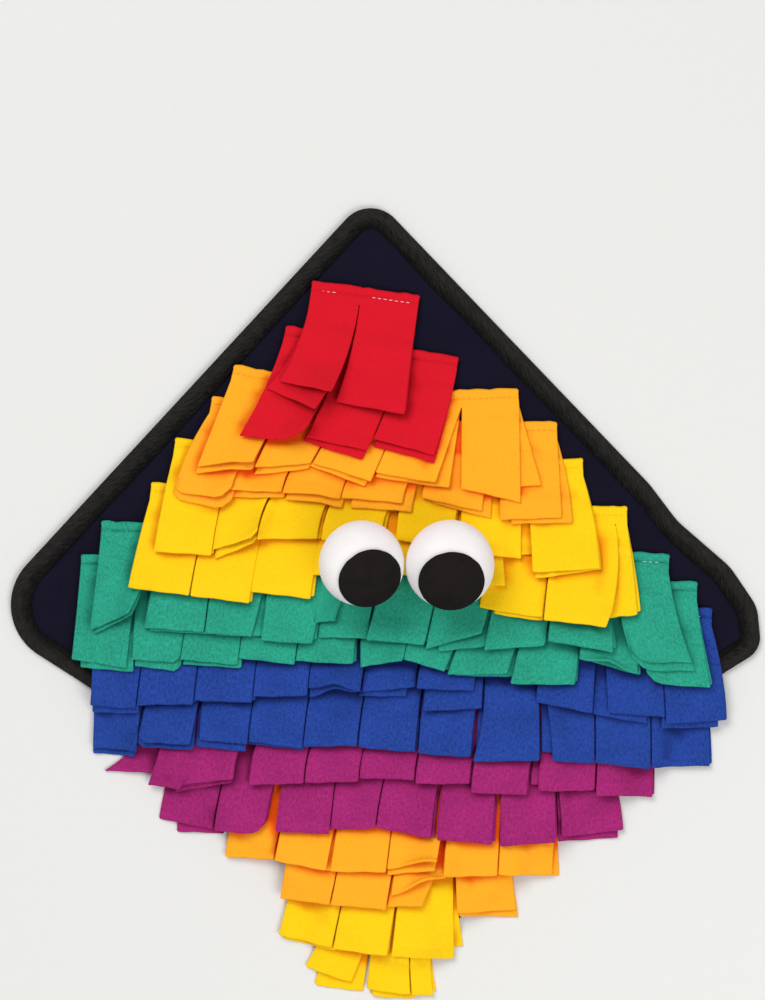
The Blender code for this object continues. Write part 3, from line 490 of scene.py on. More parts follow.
# From the top: the fold's ends and bow; each flap's lean, its length, and its foot's turn in degrees.
# hang is 0 where the flaps' sides leave the header straight down, and 1 where they end so, and
# odd holds what single flaps, counted from the left, have in place of plainFlap's values.
strips = {
    "red_1": {
        "ends": ((-40, 174), (18, 166)), "widths": (0.46, 0.54), "leans": (-16, -10), "lengths": (49, 55),
        "turns": (-4, -3),
        "odd": {0: {"lift": (0, 7), "under": (-8, 9, -12)}, 1: {"lift": (0, 2), "narrow": (-0.06, -0.06)}},
    },
    "red_2": {
        "ends": ((-54, 150), (39, 133)), "bow": 1, "hang": 0.2, "leans": (-22, -18, -13),
        "lengths": (54, 49, 44), "turns": (6, -2, -7),
        "odd": {0: {"lift": (0, 5), "narrow": (0, 0.1), "round": (1, 11)}, 1: {"under": (-2, 4, -6)},
            2: {"under": (0, 4, 0)}},
    },
    "orange_1": {
        "ends": ((-82, 129), (71, 116)), "bow": 6, "hang": 0.5, "leans": (-17, -20, -18, -15, 0),
        "lengths": (45, 42, 41, 41, 48), "turns": (17, 13, -13, -8, -16),
        "odd": {0: {"lift": (0, 3), "under": (-1, 4, -1), "arch": 1}, 1: {"under": (0, 3, 2)},
            2: {"under": (-3, 3, -3)}, 3: {"lift": (0, 2), "under": (0, 2, 1), "underNarrow": (0, -0.25)},
            4: {"under": (11, -3, 18)}},
    },
    "orange_2": {
        "ends": ((-94, 112), (92, 98)), "bow": 5, "hang": 0.9, "leans": (-18, -23, -24, -22, -10, 1),
        "lengths": (46, 42, 42, 41, 37, 43), "turns": (3, 5, -1, -2, -11, 2),
        "odd": {0: {"lift": (0, 3), "under": (-1, 5, -5), "round": (4, 8)}, 1: {"under": (2, 2, 2)},
            2: {"under": (1, 3, -2), "arch": 1.5}, 3: {"under": (5, 2, 1)}, 4: {"under": (5, 2, -3)},
            5: {"under": (6, 3, -1)}},
    },
    "yellow_1": {
        "ends": ((-114, 89), (106, 78)), "bow": 5, "hang": 1, "leans": (-9, -14, -18, -14, -7, -3, 6),
        "lengths": (52, 44, 41, 39, 37, 42, 51), "turns": (3, 23, 5, 0, -6, -8, 1),
        "odd": {1: {"lift": (0, 5), "narrow": (0.05, 0.1), "under": (0, 4, 5), "round": (1, 5)},
            3: {"narrow": (0, 0.05)}, 4: {"narrow": (0.05, 0.03)}, 5: {"under": (7, 0, 7)},
            6: {"lift": (2, 0), "narrow": (-0.04, -0.04), "under": (1, 2, 5)}},
    },
    "yellow_2": {
        "ends": ((-127, 65), (130, 52)), "bow": 4, "hang": 0.7, "widths": (1, 1, 1, 1, 1, 1, 1, 1, 0.2),
        "leans": (-10, -9, -8, -6, -3, -1, -9, -7, 0), "lengths": (49, 50, 45, 32, 30, 33, 49, 54, 50),
        "turns": (-2, -2, -3, 4, -1, -3, -8, -7, 5),
        "odd": {5: {"lift": (0, 3), "narrow": (0, -0.1), "over": 1},
            6: {"narrow": (-0.04, 0), "under": (0, 2, 1)}, 7: {"lift": (0, 3), "bow": (0, 9), "over": 1},
            8: {"narrow": (-0.8, -0.8)}},
    },
    "green_1": {
        "ends": ((-154, 44), (153, 26)), "hang": 0.3, "leans": (-10, -6, -7, -6, -16, -9, -10, -7, -2, 11),
        "lengths": (45, 47, 48, 50, 40, 47, 45, 46, 43, 51), "turns": (29, 0, -2, 0, 11, -2, 20, 8, -7, 4),
        "odd": {0: {"lift": (0, 4), "narrow": (0.15, 0.18), "under": (2, 1, 3)}, 1: {"under": (3, 1, 1)},
            2: {"narrow": (0.1, 0.15), "under": (6, 0, 3), "underNarrow": (0.1, 0.1)},
            3: {"narrow": (0.06, 0.1)},
            4: {"lift": (0, 3), "narrow": (0.3, 0.4), "under": (9, 6, -9), "underNarrow": (0.1, 0.1),
                "hang": 0.9},
            6: {"lift": (0, 3), "under": (6, 3, -10), "underNarrow": (0.1, 0.1)},
            8: {"lift": (3, 0), "narrow": (-0.05, -0.05)},
            9: {"narrow": (0.05, 0), "under": (2, 5, 0), "round": (10, 1)}},
    },
    "green_2": {
        "ends": ((-165, 26), (168, 11)), "bow": 1, "hang": 0.4,
        "leans": (-6, -4, -6, -5, -5, -3, -12, -13, -8, -3, 4),
        "lengths": (49, 46, 45, 43, 42, 41, 42, 46, 49, 38, 47),
        "turns": (-5, -2, -2, -4, 0, 13, -14, 3, 1, -13, -1),
        "odd": {0: {"narrow": (0.08, 0), "under": (5, 3, 4)},
            1: {"narrow": (0.1, 0.12), "under": (0, 4, -3), "round": (1, 5)}, 2: {"under": (2, 2, 2)},
            5: {"lift": (0, 3), "narrow": (0.13, 0.13)}, 6: {"lift": (3, 0), "narrow": (0.13, 0.13)},
            7: {"under": (4, 0, -2)}, 8: {"narrow": (-0.04, -0.04)},
            9: {"lift": (4, 2), "under": (2, 0, -1), "curl": (6, 2.8, 0.5)},
            10: {"narrow": (0, -0.06), "round": (9, 1)}},
    },
    "blue_1": {
        "ends": ((-156, 8), (176, -3)), "hang": 0.8, "leans": (-6, -9, -7, -6, -8, -9, -9, -5, -5, 5, 6),
        "lengths": (55, 53, 50, 46, 42, 41, 40, 32, 47, 50, 53),
        "turns": (-2, 3, -1, 3, -2, 7, -1, 0, -9, -3, 5),
        "odd": {0: {"narrow": (0.12, 0.1), "under": (1, 3, 3)},
            4: {"lift": (0, 2), "under": (-1, 3, 10), "arch": 3.5},
            5: {"under": (-2, 4, -6), "underNarrow": (0, 0.15)}, 6: {"lift": (3, 0), "under": (5, 10, 5)},
            9: {"under": (-11, 2, -6)},
            10: {"narrow": (-0.04, -0.04), "under": (-2, 3, -2), "underNarrow": (0, 0.05)}},
    },
    "blue_2": {
        "ends": ((-157, -16), (172, -25)), "hang": 0.8, "leans": (-5, -8, -5, -7, -8, -8, -6, -3, 5, 0, 2),
        "lengths": (54, 50, 48, 49, 49, 50, 52, 54, 54, 55, 55),
        "turns": (-4, -1, -4, -5, 2, -3, -2, 2, -1, -5, 3),
        "odd": {0: {"narrow": (0.15, 0.12), "under": (0, 3, 0)},
            1: {"lift": (2, 2), "narrow": (0.05, 0.06), "under": (-2, 3, 0), "underNarrow": (0.05, -0.08),
                "round": (5, 2), "bow": (4, 3)},
            2: {"narrow": (0.08, 0.08), "under": (-2, 4, -1)}, 3: {"under": (0, 1, 1)},
            6: {"narrow": (0.06, 0.06)}, 7: {"narrow": (-0.06, -0.08), "bow": (7, 0)},
            8: {"narrow": (0.12, 0.14), "under": (-5, -5, 0), "underNarrow": (0.05, 0.1)}},
    },
    "purple_1": {
        "ends": ((-116, -38), (145, -48)), "hang": 1, "leans": (-18, -25, -15, -15, -14, -13, -12, -4, -2),
        "lengths": (55, 54, 50, 48, 45, 46, 50, 46, 48), "turns": (-4, 10, 5, 3, 0, 2, -1, 3, 0),
        "odd": {0: {"lift": (0, 2), "narrow": (0.22, 0.22), "under": (-15, 0, 4), "underNarrow": (-0.1, 0.05),
                    "hang": 0.2},
            1: {"lift": (0, 2), "under": (-1, 3, 3)}, 7: {"under": (-4, -2, -3)}},
    },
    "purple_2": {
        "ends": ((-108, -59), (118, -69)), "hang": 0.8, "leans": (-14, -14, -7, -9, -10, -5, 1, 8),
        "lengths": (53, 56, 53, 50, 51, 54, 54, 48), "turns": (-9, -1, 0, 4, -8, -4, 6, 9),
        "odd": {0: {"under": (10, 3, 9)}, 1: {"narrow": (0.05, 0.05), "round": (1, 9)},
            3: {"narrow": (0.08, 0.08)}, 7: {"narrow": (-0.06, -0.06), "under": (-3, 3, -3)}},
    },
    "orange_3": {
        "ends": ((-79, -81), (92, -91)), "hang": 0.5, "leans": (-9, -11, -7, -7, -3, -3),
        "lengths": (48, 50, 51, 46, 50, 48), "turns": (1, -7, 2, 12, 3, 2),
        "odd": {0: {"narrow": (0.075, 0), "under": (2.5, 0, 0)}, 1: {"under": (4, 0, 1)},
            3: {"lift": (0, 4), "narrow": (0.06, 0.06), "under": (-1, 4, -3), "curl": (4, 2.4, 0.7)},
            5: {"under": (4, 0, -1)}},
    },
    "orange_4": {
        "ends": ((-50, -104), (66, -111)), "hang": 0.4, "leans": (-9, -9, -5, 5),
        "lengths": (48, 49, 36, 48), "turns": (-2, -2, 22, 6),
        "odd": {0: {"narrow": (0.11, 0), "under": (3, 0, 0)},
            2: {"lift": (0, 4), "under": (-8, 12, -17), "underNarrow": (0.2, 0.2), "curl": (5, 2.5, 0.6)},
            3: {"narrow": (-0.08, 0.04), "under": (1, 3, -4)}},
    },
    "yellow_3": {
        "ends": ((-47, -125), (37, -132)), "hang": 0.4, "leans": (-10, -9, -3), "lengths": (49, 52, 52),
        "turns": (-8, -2, 2),
        "odd": {0: {"under": (3, 1.5, 0)}, 2: {"narrow": (-0.06, -0.08), "under": (5, -5, 6)}},
    },
    "yellow_4": {
        "ends": ((-29, -146), (26, -152)), "widths": (1, 0.8, 0.45), "leans": (-14, -3, 0),
        "lengths": (47, 52, 52), "turns": (-13, -1, 6),
        "odd": {0: {"under": (6, 6, 12)}, 1: {"narrow": (-0.08, -0.08), "under": (3, 3, 4)}},
    },
}


def foldLine(strip, share):
    # points of the fold, bowed down by 4 bow s (1 - s), and the direction down the strip
    left, right = np.array(strip["ends"], float)
    bow = 4 * strip.get("bow", 0)
    low = bow * share * (1 - share)
    points = left + (right - left) * share[..., None] - np.stack((0 * low, low), axis=-1)
    ahead = unit((right - left) - np.stack((0 * share, bow * (1 - 2 * share)), axis=-1))
    return points, np.stack((ahead[..., 1], -ahead[..., 0]), axis=-1)


def flapSides(strip):  # shares of the fold at each flap's sides
    widths = np.array(strip.get("widths", (1,) * len(strip["leans"])), float)
    ends = np.concatenate(((0,), np.cumsum(widths))) / widths.sum()
    half = fleeceCut["slit"] / 2 / math.dist(*strip["ends"])
    sides = np.stack((ends[:-1] + half, ends[1:] - half), axis=1)
    sides[0, 0], sides[-1, 1] = 0, 1
    return sides


def footCorners(strip, narrow, leans, lengths, turns, lapped):
    # a foot's middle is lean to the right and sqrt(length^2 - lean^2) below the slits' top
    sides = flapSides(strip)
    points, down = foldLine(strip, sides.mean(axis=1))
    slope = np.arctan2(down[:, 0], -down[:, 1])
    wide = (sides[:, 1] - sides[:, 0]) * math.dist(*strip["ends"])
    drop = np.sqrt(lengths**2 - leans**2)
    middle = points + down * fleeceCut["header"] + np.stack((leans, -drop), axis=1)
    angle = slope + np.radians(turns)
    along = np.stack((np.cos(angle), np.sin(angle)), axis=1)
    left = middle - along * (wide * (0.5 + fleeceCut["flare"] - narrow[:, 0]))[:, None]
    right = middle + along * (wide * (0.5 + fleeceCut["flare"] - narrow[:, 1]))[:, None]
    for i in range(len(leans) - 1):  # where two feet would overlap, both end midway
        parted = not (lapped[i] or lapped[i + 1])
        over = parted * max(right[i, 0] + fleeceCut["apart"] - left[i + 1, 0], 0)
        right[i] -= along[i] * over / 2 / along[i, 0]
        left[i + 1] += along[i + 1] * over / 2 / along[i + 1, 0]
    return left, right


def flapPlan(strip, i, foot, length, odd, upper, u, v):
    # sides are curves from the slit's top to the foot's corner: (1-v)^2 root + 2v(1-v) bend + v^2 foot
    points, down = foldLine(strip, flapSides(strip)[i])
    root = points + down * fleeceCut["header"]
    below, above = root + down * length / 2, foot - down * length / 2
    bend = below + (above - below) * (strip.get("hang", 0) if odd["hang"] is None else odd["hang"])
    bend[:, 0] += odd["bow"] if upper else (0, 0)
    wide = math.dist(*root)
    fromSide = np.stack((u, 1 - u)) * wide
    radius = np.array(odd["round"], float)[:, None]
    into = np.clip(1 - fromSide / radius, 0, 1)
    cut = (radius * (1 - np.sqrt(1 - into**2))).sum(axis=0) + odd["arch"] * np.sin(u * math.pi) ** 2
    cut = cut + fleeceCut["ragged"] * (1 + np.sin(u * 9 + odd["phase"]) * np.cos(u * 4 + 2 * odd["phase"]))
    v = (v[:, None] * (1 - cut / length))[..., None]
    left, right = [(1 - v) ** 2 * root[k] + 2 * v * (1 - v) * bend[k] + v**2 * foot[k] for k in (0, 1)]
    return left * (1 - u[:, None]) + right * u[:, None]


def settle(plan, rootHeight, ground):
    # each point hangs between its neighbours, less a little for weight, and rests on what is under it
    perDown, perAcross = [1 / np.linalg.norm(np.diff(plan, axis=k), axis=2).mean() ** 2 for k in (0, 1)]
    least = ground.highestNear(plan[..., 0], plan[..., 1], fleeceCut["near"], fleeceCut["gap"])
    z = np.maximum(np.broadcast_to(rootHeight, plan.shape[:2]), least)
    z[0] = rootHeight
    for step in range(fleeceCut["settling"]):
        lengthwise = np.vstack((z[:-2] + z[2:], 2 * z[-2:-1]))
        left, right = np.hstack((z[:, 1:2], z[:, :-1])), np.hstack((z[:, 1:], z[:, -2:-1]))
        hung = perDown * lengthwise + perAcross * (left + right)[1:] - fleeceCut["limp"]
        z[1:] = np.maximum(least[1:], hung / 2 / (perDown + perAcross))
    away = np.clip(np.linalg.norm(plan - plan[:1], axis=2) / fleeceCut["shoulder"], 0, 1)
    drop = np.clip(rootHeight - z, 0, None)  # a shoulder in place of a crease: drop (3 s^2 - 2 s^3)
    return z + drop * (1 - away**2 * (3 - 2 * away))


def between(grid, v, u):  # a grid's heights at other places, straight between its own
    columns = np.array([np.interp(v, np.linspace(0, 1, len(grid)), column) for column in grid.T])
    return np.array([np.interp(u, np.linspace(0, 1, len(columns)), line) for line in columns.T])


wholeTurn = 6.28  # radians, for waves that start anywhere
edgeSteps = np.array((0, 0.13, 0.5, 1))  # shares of the edge's radius where its round is cut
foldSteps = np.radians((-60, -30, 0, 30, 60))  # and where the fold's is
seamSteps = np.array((-1.6, -1, -0.6, -0.3, 0, 0.3, 0.6, 1, 1.6))  # mm to either side of the seam


def stations(cells, width, bothEnds):  # places along a side of a flap, closer together at its cut edge
    near = edgeSteps * fleeceCut["edgeRound"] / width
    inner = np.arange(1, cells) / cells
    start = near if bothEnds else np.zeros(0)
    return np.concatenate((start, inner, 1 - near[::-1]))


def flapStations(strip):
    # each flap's width, its columns as shares of it, and all of them as shares of the fold
    sides = flapSides(strip)
    wide = (sides[:, 1] - sides[:, 0]) * math.dist(*strip["ends"])
    across = [stations(fleeceCut["across"], w, True) for w in wide]
    return wide, across, np.concatenate([low + (high - low) * a for (low, high), a in zip(sides, across)])


def rollUp(middle, odd, lengthwise, u, v):
    # cloth within reach of the foot goes round a cylinder: angle = distance past its start / radius
    reach, radius, most = odd["curl"]
    reach = reach * np.exp(-(((u - most) / 0.45) ** 2))  # it fades to both sides of where it is most
    past = np.clip(reach - (1 - v[:, None]) * lengthwise, 0, None)
    angle = past / radius
    along = unit(np.gradient(middle, axis=0))
    upwards = np.array((0, 0, 1.0)) - along * along[..., 2:]
    middle = middle + along * (radius * np.sin(angle) - past)[..., None]
    return middle + upwards * (radius * (1 - np.cos(angle)))[..., None]


def headerHeights(strip, ground, share):
    # the underside of the header, clear of all that lies under it, and its rise at the slits' top:
    # from the seam the cloth runs straight to the highest edge that its flaps lie over
    cut, header, gap = fleeceCut, fleeceCut["header"], fleeceCut["gap"]
    fine = np.linspace(0, 1, 400)  # places along the fold
    points, down = foldLine(strip, fine)

    def leastAt(depths):
        spots = points[:, None] + down[:, None] * depths[None, :, None]
        return ground.highestNear(spots[..., 0], spots[..., 1], cut["headerNear"], gap)

    def evened(values, reach):  # the highest within reach of each place, then smoothed
        padded = np.pad(values, 2 * reach, mode="edge")
        widest = np.max([padded[k : k + len(fine) + 2 * reach] for k in range(2 * reach + 1)], axis=0)
        weights = np.hanning(2 * reach + 3)[1:-1]
        return np.convolve(widest, weights / weights.sum(), mode="valid")

    low = evened(leastAt(np.linspace(0, header + 1, 14)).max(axis=1), cut["evenLow"])
    free = header - cut["stitchDepth"]
    past = np.linspace(0, cut["ahead"], cut["ahead"] + 1)  # mm below the slits' top
    taut = (leastAt(header + past) - low[:, None]) * free / (free + past)
    rise = evened(np.clip(taut.max(axis=1), 0, cut["rise"]), cut["evenRise"])
    return np.interp(share, fine, low), np.interp(share, fine, rise)


def layStrip(name, ground, chance, random):
    # lines of the cloth's middle from the lower layer's feet over the fold to the upper layer's feet
    strip, cut = strips[name], fleeceCut
    flaps, thick, header = len(strip["leans"]), cut["thick"], cut["header"]
    odd = [{**plainFlap, **strip["odd"].get(i, {}), "phase": random.uniform(0, wholeTurn)}
           for i in range(flaps)]
    wide, across, share = flapStations(strip)
    starts = np.cumsum([0] + [len(a) for a in across])
    points, down = foldLine(strip, share)
    floor, rise = headerHeights(strip, ground, share)
    spots = np.linspace(0, 1, 240)
    stray = smoothNoise(len(spots), cut["foldWaves"] * flaps, random)
    stray = np.interp(share, spots, stray) * cut["foldWander"]
    bend = (thick + cut["gap"]) / 2  # radius of the fold's middle
    start = bend + thick / 2
    near = header - edgeSteps[::-1] * cut["edgeRound"]
    seam = cut["stitchDepth"] + seamSteps
    depths = np.concatenate(((start, start + 0.8), seam, (near[0] - 1.2,), near))  # the header's lines
    uniform = np.arange(cut["down"] + 1) / cut["down"]
    even = np.arange(cut["across"] + 1) / cut["across"]
    fromEnds = np.minimum(share, 1 - share) * math.dist(*strip["ends"])
    fromEnds = np.clip(1 - fromEnds / cut["foldCorner"], 0, 1)
    stray = stray + cut["foldCorner"] * (1 - np.sqrt(1 - fromEnds**2))
    freed = np.clip((depths - cut["stitchDepth"]) / (header - cut["stitchDepth"]), 0, 1)[:, None]
    strayed = depths[:, None] + stray * np.clip(1 - depths / header, 0, 1)[:, None]
    layers = []
    for upper in (False, True):
        base = floor + (2 * bend if upper else 0)
        narrow = np.array([o["narrow"] for o in odd], float)
        leans, lengths, turns = [np.array(strip[k], float) for k in ("leans", "lengths", "turns")]
        if not upper:
            side = np.interp(chance[:, 0], (0, 1), cut["underSide"])
            longer = np.interp(chance[:, 1], (0, 1), cut["underLong"])
            stated = np.array([o["under"] or (side[i], longer[i], 0) for i, o in enumerate(odd)])
            leans, lengths, turns = leans + stated[:, 0], lengths + stated[:, 1], turns + stated[:, 2]
            narrow = np.array([o["underNarrow"] or o["narrow"] for o in odd], float)
        lapped = np.array([upper and o["over"] for o in odd])
        left, right = footCorners(strip, narrow, leans, lengths, turns, lapped)
        flat = points[None] + down[None] * strayed[..., None]
        headerLines = np.dstack((flat, base + rise * freed + thick / 2))
        blocks = {}
        for i in sorted(range(flaps), key=lambda k: odd[k]["over"]):
            if odd[i]["over"] and upper:
                for whole in blocks.values():
                    ground.lay(whole[::2, ::2] + (0, 0, thick / 2))
            columns = slice(starts[i], starts[i + 1])
            foot, length = (left[i], right[i]), lengths[i]
            plan = flapPlan(strip, i, foot, length, odd[i], upper, even, uniform)
            rootHeight = np.interp(even, across[i], (base + rise)[columns])
            z = settle(plan, rootHeight, ground)
            lift, phase = odd[i]["lift"], random.uniform(0, wholeTurn)
            beats = random.uniform(*cut["waveBeats"])
            raised = lift[0] * (1 - even) ** 2 + lift[1] * even**2 + odd[i]["arch"] * np.sin(even * math.pi)
            wave = cut["wave"] * random.uniform(cut["waveLeast"], 1) / 2
            raised = raised + wave * (1 + np.sin(even * wholeTurn * beats + phase))
            z += uniform[:, None] ** 2 * raised
            along = stations(cut["down"], length, False)
            flat = flapPlan(strip, i, foot, length, odd[i], upper, across[i], along)
            middle = np.dstack((flat, between(z, along, across[i]) + thick / 2))
            if odd[i]["curl"] and upper:
                middle = rollUp(middle, odd[i], length, across[i], along)
            blocks[i] = np.vstack((headerLines[:, columns], middle))
        for whole in blocks.values():
            ground.lay(whole[::2, ::2] + (0, 0, thick / 2))
            ground.lay(whole[-4:] + (0, 0, thick / 2))
        layers.append(np.hstack([blocks[i] for i in range(flaps)]))
    around = foldSteps[:, None]
    fold = points[None] + down[None] * (start - bend * np.cos(around) + stray)[..., None]
    fold = np.dstack((fold, floor + thick / 2 + bend * (1 + np.sin(around))))
    return np.vstack((layers[0][::-1], fold, layers[1])), depths, floor


def coatStrip(name, middle, depths, material, random):
    # both faces lie half the thickness from the middle, and meet in a round at every cut edge
    cut, far, folded = fleeceCut, 99.0, len(foldSteps)
    wide, across, share = flapStations(strips[name])
    flaps, headerRows = len(across), len(depths)
    rows, columns = middle.shape[:2]
    downRows = (rows - folded) // 2 - headerRows
    blockEnds = np.cumsum([0] + [len(a) for a in across])
    fromSlit, fromEnd = np.full(columns, far), np.full(columns, far)
    acrossWay = np.empty_like(middle)
    for i in range(flaps):
        block = slice(blockEnds[i], blockEnds[i + 1])
        acrossWay[:, block] = np.gradient(middle[:, block], axis=1)
        fromLeft, fromRight = across[i] * wide[i], (1 - across[i]) * wide[i]
        (fromEnd if i == 0 else fromSlit)[block] = fromLeft
        target = fromEnd if i == flaps - 1 else fromSlit
        target[block] = np.minimum(target[block], fromRight)
    outward = np.cross(np.gradient(middle, axis=0), acrossWay)
    outward /= np.maximum(np.linalg.norm(outward, axis=2, keepdims=True), 1e-9)
    fromFoot = np.full(downRows, far)
    fromFoot[-len(edgeSteps):] = edgeSteps[::-1] * cut["edgeRound"]
    oneLayer = np.concatenate((cut["header"] - depths, np.zeros(downRows)))
    fromRoot = np.concatenate((oneLayer[::-1], np.full(folded, far), oneLayer))
    fromFoot = np.concatenate((fromFoot[::-1], np.full(2 * headerRows + folded, far), fromFoot))
    edge = np.minimum(np.hypot(fromSlit[None], fromRoot[:, None]), fromEnd[None])
    edge = np.minimum(edge, fromFoot[:, None])
    edge[edge < 1e-6] = 0
    half = cut["thick"] / 2 * np.sqrt(1 - (1 - np.clip(edge / cut["edgeRound"], 0, 1)) ** 2)
    depth = np.concatenate((np.full(downRows + headerRows + folded, far), depths, np.full(downRows, far)))
    strayed = smoothNoise(columns, columns // cut["seamEvery"], random)
    strayed = depth[:, None] + cut["seamWander"] * strayed
    seam = np.exp(-(((strayed - cut["stitchDepth"]) / cut["grooveWide"]) ** 2))
    seam *= cut["groove"][name.split("_")[0]]
    outer = middle + outward * (half - seam)[..., None]
    inner = middle - outward * half[..., None]
    # along a cut edge the inner face uses the outer face's points
    number = np.arange(rows * columns)
    other = np.where(edge.ravel() == 0, number, number + rows * columns)
    quads = gridQuads(rows, columns)
    line, place = quads[:, 0] // columns, quads[:, 0] % columns
    inHeader = (line >= downRows) & (line < rows - 1 - downRows)
    there = quads[inHeader | ~np.isin(place, blockEnds[1:-1] - 1)]  # nothing bridges a slit
    faces = np.vstack((there, other[there[:, ::-1]]))
    points = np.vstack((outer.reshape(-1, 3), inner.reshape(-1, 3)))
    steps = np.linalg.norm(np.diff(middle, axis=0), axis=2).mean(axis=1)
    run = np.concatenate(((0,), np.cumsum(steps))) / 10
    beside = np.concatenate([across[i] * wide[i] + sum(wide[:i]) for i in range(flaps)]) / 10
    uv = np.stack(np.broadcast_arrays(beside[None], run[:, None]), axis=2).reshape(-1, 2)
    uv = np.vstack((uv, uv + (37.0, 11.0)))  # the inner face gets another part of the grain
    used, faces = np.unique(faces, return_inverse=True)
    return putIn("fleece_" + name, points[used], faces.reshape(-1, 4), uv[used], [material])


# Sewing thread along the strips

threadCut = {
    "long": 2.3,  # one stitch
    "pitch": 3.1,
    "round": 0.22,
    "sag": 0.25,  # how far its ends go down into the cloth
    "proud": 0.05,  # how far its middle lies above the groove
    "fromEnd": 1.5,
    "white": {  # where white thread shows, as shares of a strip
        "red_1": ((0.07, 0.25), (0.55, 0.92)),
        "green_1": ((0.955, 0.985),),
        "blue_1": ((0.965, 0.985),),
    },
}
threadColours = {
    "red": (150, 10, 24), "orange": (240, 146, 26), "yellow": (238, 186, 14),
    "green": (18, 92, 74), "blue": (18, 38, 104), "purple": (104, 18, 74), "white": (240, 226, 228),
}


def sewStrip(name, floor, colour, threads):
    # each stitch is a short capsule along the seam: circles whose radius is r sqrt(1 - t^4)
    strip, cut, sew, sides = strips[name], fleeceCut, threadCut, 6
    length = math.dist(*strip["ends"])
    count = int((length - 2 * sew["fromEnd"]) / sew["pitch"])
    share = (sew["fromEnd"] + sew["pitch"] * (np.arange(count) + 0.5)) / length
    top = np.interp(share, flapStations(strip)[2], floor) + 2 * cut["thick"] + cut["gap"]
    top = top - cut["groove"][colour] + sew["proud"]
    points, down = foldLine(strip, share)
    middle = np.column_stack((points + down * cut["stitchDepth"], top))
    ahead = np.column_stack((-down[:, 1], down[:, 0], 0 * top))
    sideways = np.column_stack((down, 0 * top))
    t = np.array((-1, -0.8, -0.4, 0, 0.4, 0.8, 1))
    thick, sag = sew["round"] * np.sqrt(1 - t**4), -sew["sag"] * t**4
    angle = np.arange(sides) / sides * 2 * math.pi
    along = ahead[:, None, None] * (t * sew["long"] / 2)[None, :, None, None]
    around = sideways[:, None, None] * (thick[:, None] * np.cos(angle))[None, ..., None]
    raised = np.array((0, 0, 1.0)) * (thick[:, None] * np.sin(angle) + sag[:, None])[None, ..., None]
    rings = middle[:, None, None] + along + around + raised
    each = np.concatenate((rings[:, 1:-1].reshape(count, -1, 3), rings[:, [0, -1], 0]), axis=1)
    size = each.shape[1]
    inner = len(t) - 2
    quads = gridQuads(inner, sides, closedColumns=True)
    caps = poleCaps(sides, (inner - 1) * sides, inner * sides)
    offset = (np.arange(count) * size)[:, None, None]
    white = np.zeros(count, int)
    for low, high in sew["white"].get(name, ()):
        white[(share > low) & (share < high)] = 1
    slots = np.concatenate((np.repeat(white, len(quads)), np.repeat(white, len(caps))))
    allPoints = each.reshape(-1, 3)
    return putIn("thread_" + name, allPoints, (quads[None] + offset).reshape(-1, 4), allPoints[:, :2] / 10,
                 [threads[colour], threads["white"]], slots, (caps[None] + offset).reshape(-1, 3))


# Panel and binding


def makePanel(path, inward, material, random):
    # rings from the underside's middle, round the edge inside the tape, to the face's middle
    shape, around = matShape, len(path)
    core, edge = shape["tapeWide"] + shape["clear"], shape["marginInset"]
    (rise, riseOver), (grow, fade) = shape["faceRise"], shape["puckerFade"]
    low, top, face = shape["marginLow"], shape["marginTop"], shape["panelTop"] - rise
    levels = ((core, 0.0), (core, low), (edge, low), (edge, top), (core - 0.3, top), (core + 0.6, face))
    rings = [np.column_stack((path + inward * inset, np.full(around, z))) for inset, z in levels]
    centre = np.array(shape["centre"])
    start = path + inward * (core + 0.6)
    pucker = smoothNoise(around, shape["puckers"], random)
    count, closer = shape["faceRings"]
    steps = 1 - (1 - np.linspace(0, 1, count)[1:-1]) ** closer
    flat = start[None] * (1 - steps)[:, None, None] + centre * steps[:, None, None]
    fromRim = np.linalg.norm(flat - start, axis=2)
    swell = shape["pucker"] * np.exp(-fromRim / fade) * pucker * np.clip(fromRim / grow, 0, 1)
    upper = np.dstack((flat, face + np.clip(fromRim / riseOver, 0, 1) * rise + swell))
    under = np.dstack((flat[::4][::-1], np.zeros(flat[::4].shape[:2])))
    rings = np.concatenate((under, rings, upper))
    points = np.vstack((rings.reshape(-1, 3), (*centre, 0), (*centre, shape["panelTop"])))
    quads = gridQuads(len(rings), around, closedColumns=True)[:, ::-1]
    caps = poleCaps(around, (len(rings) - 1) * around, len(rings) * around)[:, ::-1]
    return putIn("panel_cloth", points, quads, points[:, :2] / 10, [material], None, caps)


